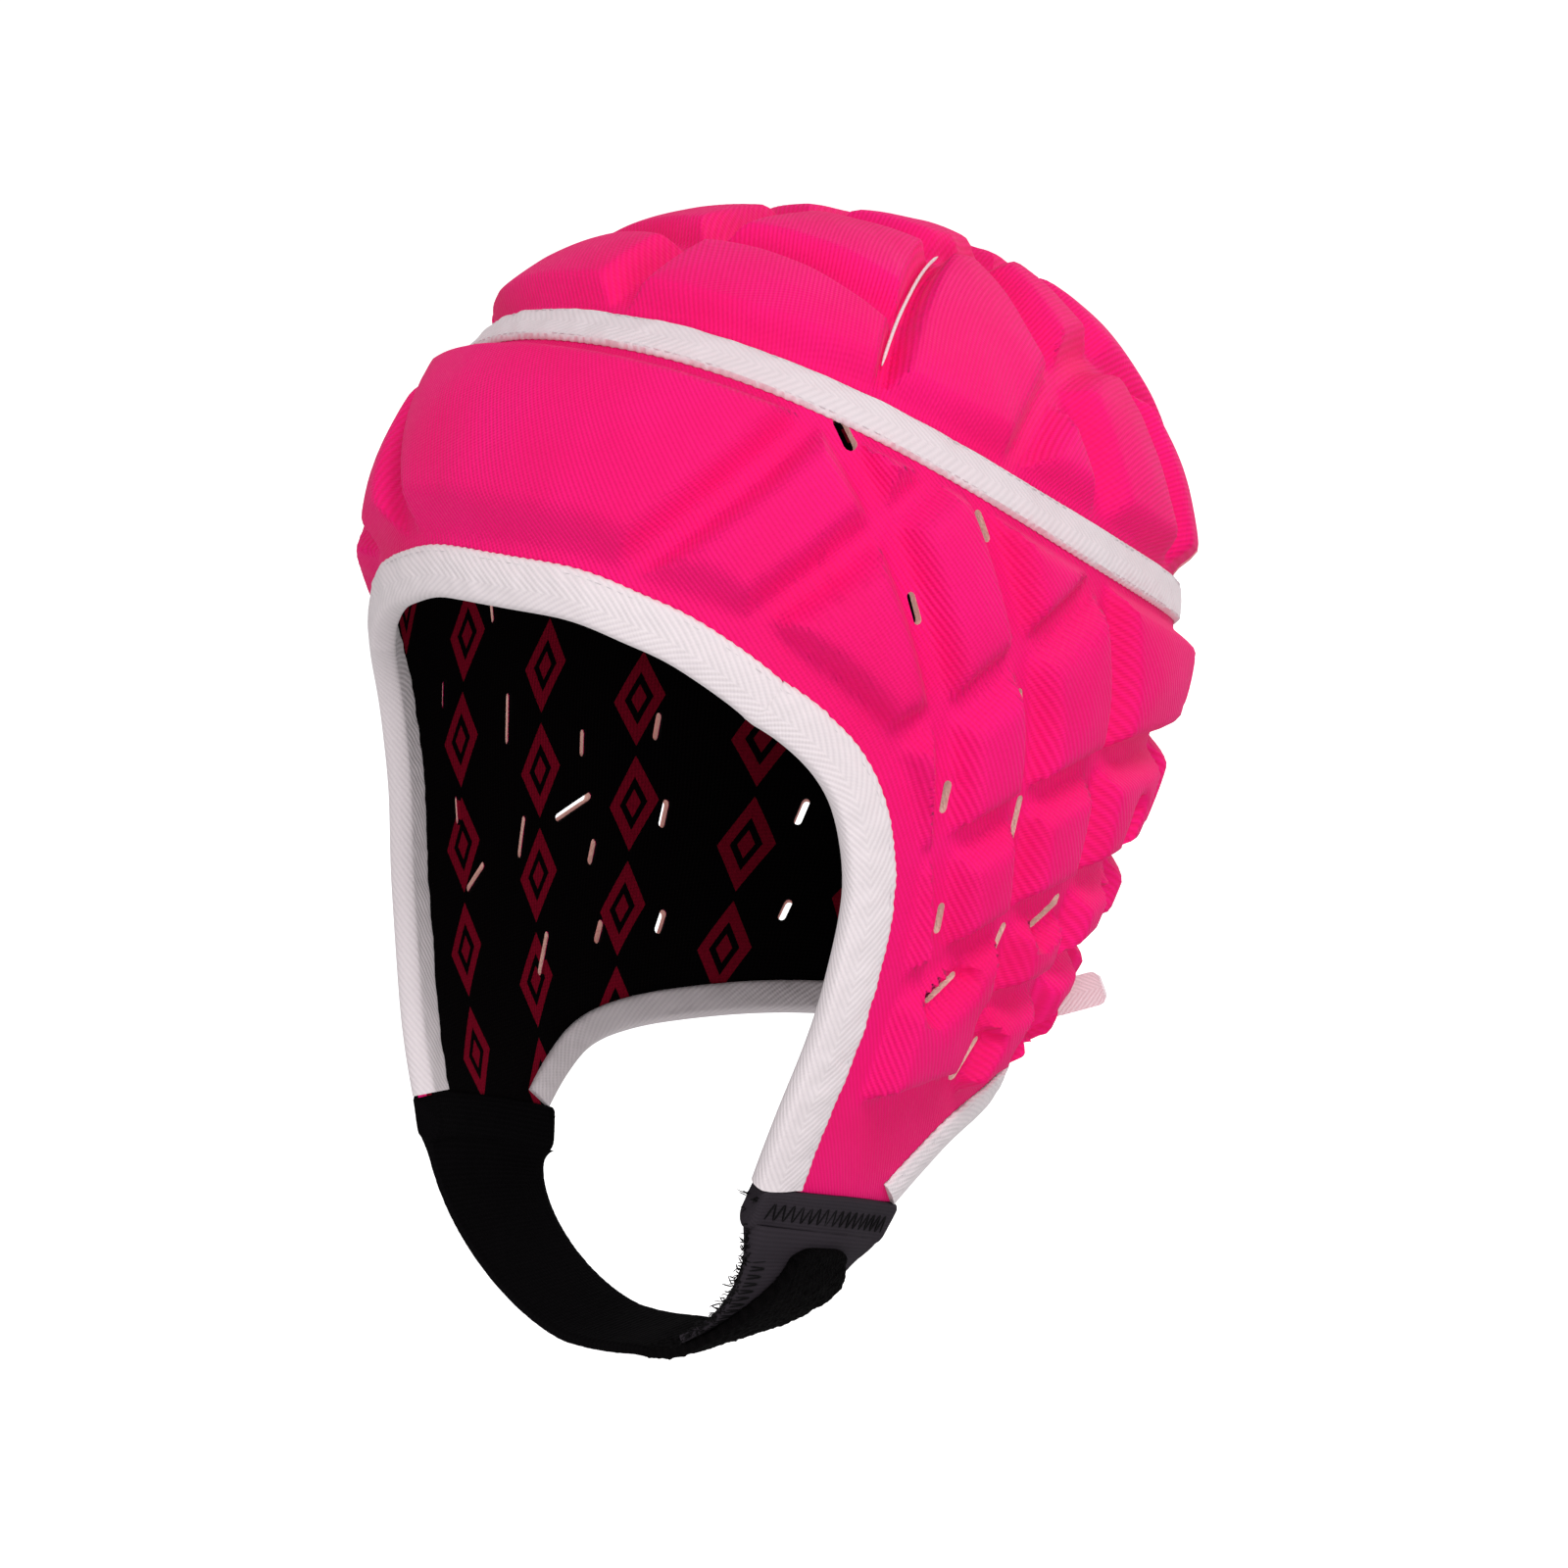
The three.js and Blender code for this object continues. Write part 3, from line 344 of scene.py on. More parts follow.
def lengths_along(points):
    """The length run at each of a line's points."""
    return np.concatenate([[0], np.cumsum(np.linalg.norm(np.diff(points, axis=0), axis=1))])


def stepped(fine, points, step):
    """Rows of fine at equal steps of the length along points."""
    lengths = lengths_along(points)
    count = max(2, int(round(lengths[-1] / step)) + 1)
    along = np.linspace(0, lengths[-1], count)
    return np.stack([np.interp(along, lengths, fine[:, k]) for k in range(fine.shape[1])], -1)


def walk(table, step):
    fine = spline(np.stack([table["angle"], table["level"]], -1), 300)
    return stepped(fine, head_point(fine[:, 0], fine[:, 1]), step)


def from_plan(across, back):
    x = across * HEAD_WIDTH / 2
    y = back * HEAD_REAR
    depth = np.where(y < 0, HEAD_FRONT, HEAD_REAR)
    power = np.where(y < 0, FRONT_ROUNDNESS, REAR_ROUNDNESS)
    spread = (np.abs(across) ** power + np.abs(y / depth) ** power) ** (1 / power)
    level = np.arcsin(np.clip(spread ** (1 / DOME_ROUNDNESS), 0, 1)) / (math.pi / 2)
    return np.degrees(np.arctan2(x, -y)), level


def plan_places(table, step):
    fine = spline(np.stack([table["across"], table["back"]], -1), 200)
    angle, level = from_plan(fine[:, 0], fine[:, 1])
    return stepped(np.stack([angle, level], -1), head_point(angle, level), step)


def on_head(places):
    return head_point(places[:, 0], places[:, 1])


def mirrored(places):
    return places[::-1] * np.array([-1.0, 1.0])


LAP_LEVEL = STRAP_LAP / SKIRT_DEPTH
FACE_HALF = walk(FACE_RIM, EDGE_STEP)
NECK_HALF = walk(NECK_RIM, EDGE_STEP)
FOOT_ENDS = {
    "angle": (FACE_RIM["angle"][-1], NECK_RIM["angle"][0]),
    "level": (FACE_RIM["level"][-1] + LAP_LEVEL, NECK_RIM["level"][0] + LAP_LEVEL),
}
FLAP_FOOT = walk(FOOT_ENDS, EDGE_STEP)
ONE_TURN = np.array([360.0, 0.0])
LEFT_EDGE = np.concatenate([FACE_HALF, FLAP_FOOT, NECK_HALF])
WHOLE_EDGE = np.concatenate([LEFT_EDGE, mirrored(LEFT_EDGE)[1:-1] + ONE_TURN])

SIDE_LINES = [on_head(walk(channel, LINE_STEP)) for channel in SIDE_CHANNELS]
CROWN_LINES = [on_head(plan_places(channel, LINE_STEP)) for channel in CROWN_CHANNELS]
SLIT_LINE = [on_head(plan_places(SLIT, LINE_STEP))]


def slot_frames():
    """Each slot's middle, its long, short and outward directions, its half length and its width."""
    out = []
    for index, (left_angle, level, length, lean) in enumerate(VENT_SLOTS):
        width = SLOT_WIDTH if index else FIRST_SLOT_WIDTH
        for side in (1, -1):
            angle = np.float64(side * left_angle)
            around, down, outwards = head_frame(angle, level)
            tilt = math.radians(lean)
            along = unit(unit(down) * math.cos(tilt) + unit(around) * side * math.sin(tilt))
            across = np.cross(outwards, along)
            out.append((head_point(angle, level), along, across, outwards, length / 2, width))
    return out


SLOTS = slot_frames()
SLOT_MIDLINES = [np.array([place - along * reach, place + along * reach])
                 for place, along, _, _, reach, _ in SLOTS[::2]]
CROWN_SLOTS = [line for line in SLOT_MIDLINES if line[0, 2] > SEAM_HEIGHT]


def wobble(points, size, seed, octaves=5):
    """A smooth even noise of about unit height, with features of about the given size."""
    rng = np.random.default_rng(seed)
    total = np.zeros(points.shape[:-1])
    for _ in range(octaves * 3):
        direction = unit(rng.normal(size=3))
        pitch = size * rng.uniform(0.7, 1.6)
        total += np.sin(points @ direction * (2 * math.pi / pitch) + rng.uniform(0, 2 * math.pi))
    return total / math.sqrt(octaves * 3)


def pad_height(angle, level, is_crown):
    """Height of the outer face: the web, with a pad wherever channels and edges leave room."""
    fold = folded(angle)
    p = head_point(fold, level)
    half = CHANNEL_WIDTH / 2
    rise = (distance_to([SEAM_LINE], p) - TAPE_WIDTH / 2 - TAPE_MARGIN) / BEVEL_WIDTH
    if is_crown:
        rise = np.minimum(rise, (distance_to(CROWN_LINES, p) - half) / BEVEL_WIDTH)
        rise = np.minimum(rise, (distance_to(SLIT_LINE, p) - SLIT_WIDTH / 2) / SLIT_BEVEL)
    else:
        rise = np.minimum(rise, (distance_to(SIDE_LINES, p) - half) / BEVEL_WIDTH)
        soft = smoothstep(fold, 45, 25)
        margin = BINDING_MARGIN + (2.0 - BINDING_MARGIN) * soft
        width = BEVEL_WIDTH + (FOREHEAD_BEVEL - BEVEL_WIDTH) * soft
        rise = np.minimum(rise, (distance_to([on_head(FACE_HALF)], p) - FACE_BINDING_WIDTH - margin) / width)
        rise = np.minimum(rise, (distance_to([on_head(NECK_HALF)], p) - NECK_BINDING_WIDTH - BINDING_MARGIN)
                          / BEVEL_WIDTH)
        foot = read_table(FLAP_PAD_FOOT["angle"], FLAP_PAD_FOOT["level"],
                          np.clip(fold, FLAP_PAD_FOOT["angle"][0], FLAP_PAD_FOOT["angle"][-1]))
        above_foot = (foot - level) * SKIRT_DEPTH / BEVEL_WIDTH
        rise = np.where(fold < FLAP_PAD_FOOT["angle"][-1], np.minimum(rise, above_foot), rise)
    slots = CROWN_SLOTS if is_crown else SLOT_MIDLINES
    beside_slot = (distance_to(slots, p) - SLOT_WIDTH / 2 - SLOT_BORDER) / SLOT_BEVEL
    rise = np.minimum(rise, np.maximum(beside_slot, SLOT_DIP))
    bevel = np.clip(rise, 0, 1)
    pad = 0.45 * smoothstep(bevel) + 0.55 * np.sin(bevel * math.pi / 2) ** 1.5
    crown = PAD_CROWN * (1 - np.exp(-np.maximum(rise - 1, 0) * BEVEL_WIDTH / 9))
    ripple = 0.14 * wobble(p, 17, 3) * smoothstep(bevel)
    return WEB_TOP + PAD_RISE * pad + crown + ripple


# Meshes

def ring_shell(outer, inner):
    """A closed shell from two lists of rings, from the top down. A ring of one point is a tip."""
    points = np.concatenate(list(outer) + list(inner))
    faces = []
    starts = []
    at = 0
    for ring in list(outer) + list(inner):
        starts.append((at, len(ring)))
        at += len(ring)

    def join(a, b, turned):
        (sa, na), (sb, nb) = a, b
        n = max(na, nb)
        i = np.arange(n)
        j = (i + 1) % n
        if na == 1:
            cells = np.stack([np.full(n, sa), sb + i, sb + j], -1)
        elif nb == 1:
            cells = np.stack([sa + j, sa + i, np.full(n, sb)], -1)
        else:
            cells = np.stack([sa + i, sb + i, sb + j, sa + j], -1)
        faces.extend((cells[:, ::-1] if turned else cells).tolist())

    outside = starts[:len(outer)]
    inside = starts[len(outer):]
    for a, b in zip(outside, outside[1:]):
        join(a, b, False)
    for a, b in zip(inside, inside[1:]):
        join(a, b, True)
    if inner:
        join(outside[-1], inside[-1], False)
        if outside[0][1] > 1:
            join(outside[0], inside[0], True)
    return facing_out(points, faces)


def facing_out(points, faces):
    volume = 0.0
    for size in (3, 4):
        cells = np.array([f for f in faces if len(f) == size], int)
        if len(cells) == 0:
            continue
        for k in range(1, size - 1):
            a, b, c = points[cells[:, 0]], points[cells[:, k]], points[cells[:, k + 1]]
            volume += (a * np.cross(b, c)).sum()
    if volume < 0:
        faces = [f[::-1] for f in faces]
    return points, faces


def loft(rows, closed_rows=False):
    """A solid from rows of sections, each a closed outline, with flat ends unless the rows close too."""
    count, n = rows.shape[:2]
    points = rows.reshape(-1, 3)
    spans = count if closed_rows else count - 1
    r = np.arange(spans)[:, None]
    i = np.arange(n)[None]
    a = r * n + i
    b = r * n + (i + 1) % n
    c = (r + 1) % count * n + (i + 1) % n
    d = (r + 1) % count * n + i
    faces = np.stack([a, b, c, d], -1).reshape(-1, 4).tolist()
    points, turned = facing_out(points, faces)
    if not closed_rows:
        is_turned = turned[0] != faces[0]
        first = list(range(n))[::-1]
        last = list(range((count - 1) * n, count * n))
        turned = turned + ([first[::-1], last[::-1]] if is_turned else [first, last])
    return points, turned


def join_parts(parts):
    """Several solids as one mesh."""
    points = []
    faces = []
    at = 0
    for p, f in parts:
        points.append(p)
        faces.extend([[i + at for i in face] for face in f])
        at += len(p)
    return np.concatenate(points), faces


def new_object(name, points, faces):
    mesh = bpy.data.meshes.new(name)
    mesh.from_pydata((np.asarray(points) * MM).tolist(), [], faces)
    mesh.update()
    obj = bpy.data.objects.new(name, mesh)
    bpy.context.scene.collection.objects.link(obj)
    return obj


def cut(obj, cutters):
    """Takes solids out of an object and keeps the result as its mesh."""
    for cutter in cutters:
        modifier = obj.modifiers.new("cut", "BOOLEAN")
        modifier.operation = "DIFFERENCE"
        modifier.solver = "MANIFOLD"
        modifier.object = cutter
    graph = bpy.context.evaluated_depsgraph_get()
    mesh = bpy.data.meshes.new_from_object(obj.evaluated_get(graph))
    obj.modifiers.clear()
    obj.data = mesh
    mesh.name = obj.name


def vertices_of(obj):
    out = np.empty(len(obj.data.vertices) * 3)
    obj.data.vertices.foreach_get("co", out)
    return out.reshape(-1, 3) / MM


def give_uv(obj, uv, turn=None):
    """A UV map in metres from each vertex's pair of millimetres, with u repeating every turn."""
    layer = obj.data.uv_layers.new(name="cloth")
    index = np.empty(len(obj.data.loops), int)
    obj.data.loops.foreach_get("vertex_index", index)
    values = uv[index]
    if turn:
        start = np.empty(len(obj.data.polygons), int)
        obj.data.polygons.foreach_get("loop_start", start)
        reach = np.maximum.reduceat(values[:, 0], start)
        face = np.repeat(np.arange(len(start)), np.diff(np.append(start, len(index))))
        values[:, 0] += turn * (reach[face] - values[:, 0] > turn / 2)
    layer.data.foreach_set("uv", (values * MM).ravel())


def grid_uv(along, across):
    """UV pairs of a grid's points, from the lengths along it and across it."""
    return np.stack(np.broadcast_arrays(np.asarray(along)[:, None], np.asarray(across)), -1).reshape(-1, 2)


def finish_piece(obj, material, sharp, node=None):
    obj.data.materials.clear()
    for m in material if isinstance(material, (list, tuple)) else [material]:
        obj.data.materials.append(m)
    obj.data.polygons.foreach_set("use_smooth", np.ones(len(obj.data.polygons), bool))
    obj.data.set_sharp_from_angle(angle=math.radians(sharp))
    obj.data.update()
    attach(obj, "root")
    if node:
        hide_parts(node)
    return obj


# Materials

class Graph:
    """A material while it is built: its nodes, its links and its shader."""

    def __init__(self, name):
        self.material = bpy.data.materials.new(name)
        self.material.use_nodes = True
        self.nodes = self.material.node_tree.nodes
        self.links = self.material.node_tree.links
        self.shader = self.nodes["Principled BSDF"]

    def feed(self, socket, value):
        """Gives a socket a number, a colour or another node's output."""
        if isinstance(value, tuple):
            socket.default_value = (*value, 1)
        elif isinstance(value, (int, float)):
            socket.default_value = value
        elif value is not None:
            self.links.new(value, socket)

    def look(self, values):
        """Sets the shader's own sockets by their names."""
        for name, value in values.items():
            self.feed(self.shader.inputs[name], value)

    def calc(self, operation, a, b=None, c=None):
        node = self.nodes.new("ShaderNodeMath")
        node.operation = operation
        for socket, value in zip(node.inputs, (a, b, c)):
            self.feed(socket, value)
        return node.outputs[0]

    def uv(self):
        """The cloth's two lengths in metres."""
        uv = self.nodes.new("ShaderNodeUVMap")
        uv.uv_map = "cloth"
        split = self.nodes.new("ShaderNodeSeparateXYZ")
        self.links.new(uv.outputs[0], split.inputs[0])
        return split.outputs[0], split.outputs[1]

    def ribs(self, u, v, pitch, slant, shift=None):
        """A wave of 0 to 1 across parallel ribs, whose direction is an angle from the u axis."""
        waves = 2 * math.pi / pitch
        along_u = self.calc("MULTIPLY", u, math.sin(math.radians(slant)) * waves)
        phase = self.calc("MULTIPLY_ADD", v, math.cos(math.radians(slant)) * waves, along_u)
        if shift is not None:
            phase = self.calc("ADD", phase, shift)
        return self.calc("MULTIPLY_ADD", self.calc("SINE", phase), 0.5, 0.5)

    def noise(self, scale, detail):
        node = self.nodes.new("ShaderNodeTexNoise")
        node.inputs["Scale"].default_value = scale
        node.inputs["Detail"].default_value = detail
        self.links.new(self.place(), node.inputs["Vector"])
        return node.outputs["Fac"]

    def place(self):
        return self.nodes.new("ShaderNodeTexCoord").outputs["Object"]

    def mix(self, factor, first, second):
        node = self.nodes.new("ShaderNodeMix")
        node.data_type = "RGBA"
        for socket, value in ((node.inputs[0], factor), (node.inputs[6], first), (node.inputs[7], second)):
            self.feed(socket, value)
        return node.outputs[2]

    def bump(self, *heights):
        """Bumps one over the other, from pairs of a height and its size in metres."""
        normal = None
        for height, distance in heights:
            node = self.nodes.new("ShaderNodeBump")
            node.inputs["Distance"].default_value = distance
            node.inputs["Strength"].default_value = 1.0
            self.feed(node.inputs["Height"], height)
            self.feed(node.inputs["Normal"], normal)
            normal = node.outputs[0]
        self.feed(self.shader.inputs["Normal"], normal)


def knit_material():
    """Hot pink warp knit, finely ribbed on the slant, pressed smoother in patches, with painted shade that
    darkens the rib grooves.
    """
    graph = Graph("pink_knit")
    u, v = graph.uv()
    drift = graph.calc("MULTIPLY", graph.noise(26, 1.0), 9.0)
    rib = graph.ribs(u, v, 0.0011, 58, drift)
    cross = graph.ribs(u, v, 0.0008, -30)
    patch = graph.noise(34, 3.0)
    fine = graph.noise(900, 2.0)
    strength = graph.calc("MULTIPLY_ADD", patch, 0.9, 0.15)
    rib_height = graph.calc("MULTIPLY", rib, strength)
    height = graph.calc("MULTIPLY_ADD", cross, 0.35, rib_height)
    # Painted shade: the colour is darker in the rib grooves, and it also varies at random in patches.
    groove_shade_and_tone = graph.calc("MULTIPLY_ADD", rib_height, 0.75, graph.calc("MULTIPLY", patch, 0.6))
    graph.look({
        "Base Color": graph.mix(groove_shade_and_tone, (0.80, 0.0, 0.11), (1.0, 0.003, 0.215)),
        "Roughness": graph.calc("MULTIPLY_ADD", fine, 0.2, 0.62),
        "Specular IOR Level": 0.2,
        "Sheen Weight": 0.1,
        "Sheen Roughness": 0.35,
        "Sheen Tint": (1.0, 0.35, 0.62),
    })
    graph.bump((height, 0.0002), (fine, 0.00008))
    return graph.material


def tape_material(name, pale, shade, pitch=0.0012):
    """Woven tape in a twill whose slant turns at its middle, with painted shade that darkens the twill
    grooves.
    """
    graph = Graph(name)
    u, v = graph.uv()
    away = graph.calc("ABSOLUTE", v)
    twill = graph.ribs(u, away, pitch, 36)
    yarn = graph.ribs(u, away, 0.0007, -50)
    fine = graph.noise(700, 3.0)
    patch = graph.noise(60, 2.0)
    # Painted shade: the colour goes to shade in the twill grooves and to pale on the ridges, and it also
    # varies at random in patches.
    deep = graph.calc("POWER", twill, 0.6)
    groove_shade_and_tone = graph.calc("MULTIPLY_ADD", deep, 0.7, graph.calc("MULTIPLY", patch, 0.45))
    graph.look({
        "Base Color": graph.mix(groove_shade_and_tone, shade, pale),
        "Roughness": graph.calc("MULTIPLY_ADD", fine, 0.15, 0.78),
        "Specular IOR Level": 0.2,
        "Sheen Weight": 0.25,
        "Sheen Roughness": 0.5,
    })
    graph.bump((graph.calc("MULTIPLY_ADD", yarn, 0.3, twill), 0.00009), (fine, 0.00008))
    return graph.material


LOZENGE_ACROSS = 0.034
LOZENGE_DOWN = 0.026
LOZENGE_HALF_WIDTH = 0.0078
LOZENGE_HALF_HEIGHT = 0.0118
LOZENGE_BORDER = 0.56  # share of a lozenge inside its border
LOZENGE_HEART = 0.3


def lining_material():
    """Black knit with small dark red lozenges in a half-drop layout, each with a small one at its heart."""
    graph = Graph("lining_knit")
    u, v = graph.uv()

    def from_middle(cells, size, half):
        """Distance from the middle of a cell, as a share of the lozenge's half size."""
        away = graph.calc("MULTIPLY_ADD", graph.calc("FRACT", cells), size, -size / 2)
        return graph.calc("DIVIDE", graph.calc("ABSOLUTE", away), half)

    column = graph.calc("DIVIDE", u, LOZENGE_ACROSS)
    parity = graph.calc("PINGPONG", graph.calc("FLOOR", column), 1.0)
    row = graph.calc("MULTIPLY_ADD", parity, 0.5, graph.calc("DIVIDE", v, LOZENGE_DOWN))
    lozenge = graph.calc("ADD", from_middle(column, LOZENGE_ACROSS, LOZENGE_HALF_WIDTH),
                         from_middle(row, LOZENGE_DOWN, LOZENGE_HALF_HEIGHT))
    border = graph.calc("MULTIPLY", graph.calc("LESS_THAN", lozenge, 1.0),
                        graph.calc("GREATER_THAN", lozenge, LOZENGE_BORDER))
    printed = graph.calc("MAXIMUM", border, graph.calc("LESS_THAN", lozenge, LOZENGE_HEART))
    rib = graph.ribs(u, v, 0.0011, 90)
    course = graph.ribs(u, v, 0.0009, 0)
    fine = graph.noise(800, 3.0)
    red = graph.mix(graph.calc("MULTIPLY_ADD", fine, 0.5, 0.6), (0.11, 0.0008, 0.008), (0.24, 0.003, 0.018))
    # Painted shade: the black is a little darker in the rib grooves.
    black = graph.mix(rib, (0.0006, 0.0003, 0.0004), (0.0022, 0.0012, 0.0016))
    graph.look({"Base Color": graph.mix(printed, black, red), "Roughness": 0.8, "Specular IOR Level": 0.04})
    graph.bump((graph.calc("MULTIPLY_ADD", course, 0.6, rib), 0.0001), (fine, 0.00006))
    return graph.material


def cloth_material(name, low, high, pitch, slant, depth, roughness, fuzz=0.0):
    """Dark narrow cloth with ribs across it, rougher where it is napped, with painted shade that darkens it
    between the ribs.
    """
    graph = Graph(name)
    u, v = graph.uv()
    rib = graph.ribs(u, v, pitch, slant)
    cross = graph.ribs(u, v, pitch * 0.7, slant + 90)
    fine = graph.noise(1100, 4.0)
    patch = graph.noise(110, 3.0)
    # Painted shade: darker between the ribs, and it also varies at random in patches.
    groove_shade_and_tone = graph.calc("MULTIPLY_ADD", rib, 0.4, graph.calc("MULTIPLY", patch, 0.6))
    graph.look({
        "Base Color": graph.mix(groove_shade_and_tone, low, high),
        "Roughness": roughness,
        "Specular IOR Level": 0.05,
    })
    layers = [(graph.calc("MULTIPLY_ADD", cross, 0.5, rib), depth), (fine, 0.0001 + fuzz)]
    if fuzz:
        layers.append((graph.noise(2600, 2.0), fuzz))
    graph.bump(*layers)
    return graph.material


def foam_material():
    """Cut foam, pinkish beige with small open cells, and a faint painted glow that brightens its walls in
    the slots.
    """
    graph = Graph("cut_foam")
    cells = graph.nodes.new("ShaderNodeTexVoronoi")
    cells.inputs["Scale"].default_value = 1500
    graph.feed(cells.inputs["Vector"], graph.place())
    graph.look({
        "Base Color": graph.mix(graph.noise(300, 2.0), (0.66, 0.40, 0.35), (0.84, 0.58, 0.52)),
        # Painted light: the foam glows faintly, though it is no lamp.
        "Emission Color": (0.9, 0.55, 0.48),
        "Emission Strength": 0.1,
        "Roughness": 0.9,
        "Specular IOR Level": 0.1,
    })
    graph.bump((cells.outputs["Distance"], 0.00025))
    return graph.material


def thread_material(name, low, high):
    """Twisted sewing thread."""
    graph = Graph(name)
    twist = graph.noise(1800, 1.0)
    graph.look({"Base Color": graph.mix(twist, low, high), "Roughness": 0.7, "Specular IOR Level": 0.1})
    graph.bump((twist, 0.0001))
    return graph.material


pink_knit = knit_material()
cut_foam = foam_material()
lining_knit = lining_material()
seam_twill = tape_material("seam_twill", (0.76, 0.67, 0.70), (0.67, 0.59, 0.62))
edge_twill = tape_material("edge_twill", (0.83, 0.745, 0.77), (0.71, 0.63, 0.66))
plain_tape = tape_material("plain_tape", (0.90, 0.75, 0.79), (0.86, 0.71, 0.75), 0.0009)
strap_knit = cloth_material("strap_knit", (0.0006, 0.0004, 0.0006), (0.0024, 0.0018, 0.0024),
                            0.0013, 90, 0.00012, 0.9)
loop_nap = cloth_material("loop_nap", (0.0003, 0.0002, 0.0003), (0.0034, 0.0026, 0.003),
                          0.0016, 40, 0.0003, 0.95, 0.0004)
tab_twill = cloth_material("tab_twill", (0.024, 0.0195, 0.0245), (0.036, 0.0295, 0.037),
                           0.0009, 90, 0.00006, 0.7)
pale_thread = thread_material("pale_thread", (0.55, 0.49, 0.52), (0.80, 0.74, 0.77))
dark_thread = thread_material("dark_thread", (0.001, 0.001, 0.001), (0.006, 0.005, 0.006))

# Cutters for the rims and the vent slots

SLOT_SPARE = 4
SLOT_SIDES = 10


def slot_cutter():
    parts = []
    for middle, along, across, outwards, reach, width in SLOTS:
        radius = width / 2
        turns = np.linspace(-math.pi / 2, math.pi / 2, SLOT_SIDES // 2 + 1)
        straight = reach - radius
        far = [(straight + radius * math.cos(t), radius * math.sin(t)) for t in turns]
        outline = np.array(far + [(-a, -b) for a, b in far])
        rows = [middle + outwards * height + outline[:, :1] * along + outline[:, 1:] * across
                for height in np.linspace(-SLOT_SPARE, WEB_TOP + PAD_RISE + SLOT_SPARE, 2)]
        parts.append(loft(np.stack(rows)))
    return new_object("slot_cutter", *join_parts(parts))


def rim_cutter():
    inside = 2
    outside = WEB_TOP + 1
    heart = np.array([[0, -HEAD_FRONT / 6, -DOME_HEIGHT - SKIRT_DEPTH / 3]])
    foot = np.array([[0, 0, -3.0 * (DOME_HEIGHT + SKIRT_DEPTH)]])
    low = raised(WHOLE_EDGE[:, 0], WHOLE_EDGE[:, 1], -inside)
    high = raised(WHOLE_EDGE[:, 0], WHOLE_EDGE[:, 1], outside)
    wide = high + unit(high * np.array([1, 1, 0])) * HEAD_WIDTH / 2
    return new_object("rim_cutter", *ring_shell([heart, low, high, wide, foot], []))


cutters = [rim_cutter(), slot_cutter()]


# Padded panels and lining

def ring_angles(count):
    return np.arange(count) * 360.0 / count


def foot_levels(angle):
    return read_table(BLANK_FOOT["angle"], BLANK_FOOT["level"], folded(angle))


ROUND_RADIUS = 88  # turns angles round the head into lengths of cloth
CROWN_RADIUS = 96  # turns slopes down the crown into lengths of cloth
CROWN_SIDE_SHARE = 0.89
CROWN_DEPTH_SHARE = 1.1


def crown_uv(points):
    """Lengths from the crown's top, as if it were unrolled."""
    flat = np.hypot(points[:, 0] / CROWN_SIDE_SHARE, points[:, 1] / CROWN_DEPTH_SHARE)
    slope = np.arctan2(flat, points[:, 2] + DOME_HEIGHT)
    turn = np.arctan2(points[:, 0], points[:, 1])
    return np.stack([np.sin(turn), np.cos(turn)], -1) * (slope * CROWN_RADIUS)[:, None]


def side_uv(points):
    """Lengths round the head and down from its widest level."""
    levels = np.linspace(0.2, 2.15, 80)
    line = head_point(np.full(80, 90.0), levels)
    lengths = lengths_along(line)
    down = np.interp(-points[:, 2], -line[:, 2], lengths)
    drop = np.clip(-(points[:, 2] + DOME_HEIGHT) / SKIRT_DEPTH, 0, 1)
    forward = HEAD_FRONT * read_table(SKIRT_DROP, SKIRT_FORWARD, drop)
    turn = np.arctan2(points[:, 0], -(points[:, 1] + forward))
    return np.stack([turn * ROUND_RADIUS, -down], -1)


def foam_faces(obj):
    """Which faces are the cut walls of the slots."""
    count = len(obj.data.polygons)
    middle = np.empty(count * 3)
    obj.data.polygons.foreach_get("center", middle)
    middle = middle.reshape(-1, 3) / MM
    normal = np.empty(count * 3)
    obj.data.polygons.foreach_get("normal", normal)
    normal = normal.reshape(-1, 3)
    chosen = np.zeros(count, int)
    for place, along, across, outwards, reach, width in SLOTS:
        away = middle - place
        a = np.abs(away @ along)
        b = np.abs(away @ across)
        radial = np.hypot(np.maximum(a - (reach - width / 2), 0), b)
        is_wall = (radial < width / 2 + 0.02) & (np.abs(normal @ outwards) < 0.3)
        is_near = np.abs(away @ outwards) < 14
        chosen[is_wall & is_near] = 1
    return chosen


def trimmed(name, outer, inner):
    """A shell with its rims and slots cut out."""
    obj = new_object(name, *ring_shell(outer, inner))
    cut(obj, cutters)
    return obj


def crown_piece():
    angle = ring_angles(CROWN_COLUMNS)
    shares = np.linspace(0, 1, CROWN_RINGS + 1)[1:] ** RING_SPREAD
    edge = beside_seam(angle, -TAPE_WIDTH / 2 - TAPE_MARGIN)
    outer = [np.array([[0, 0, pad_height(np.zeros(1), np.full(1, 0.002), True)[0]]])]
    levels = edge[None] * shares[:, None]
    angles = np.broadcast_to(angle, levels.shape)
    heights = pad_height(angles, levels, True)
    outer += list(raised(angles, levels, heights))
    seam_edge = beside_seam(angle, -SEAM_GAP / 2)
    outer.append(raised(angle, seam_edge, WEB_TOP))
    inner = [np.array([[0, 0, PANEL_INSIDE]])]
    inner += [raised(angle, edge * s, PANEL_INSIDE) for s in np.linspace(0, 1, INNER_RINGS + 1)[1:]]
    inner.append(raised(angle, seam_edge, PANEL_INSIDE))
    return trimmed("crown_knit", outer, inner)


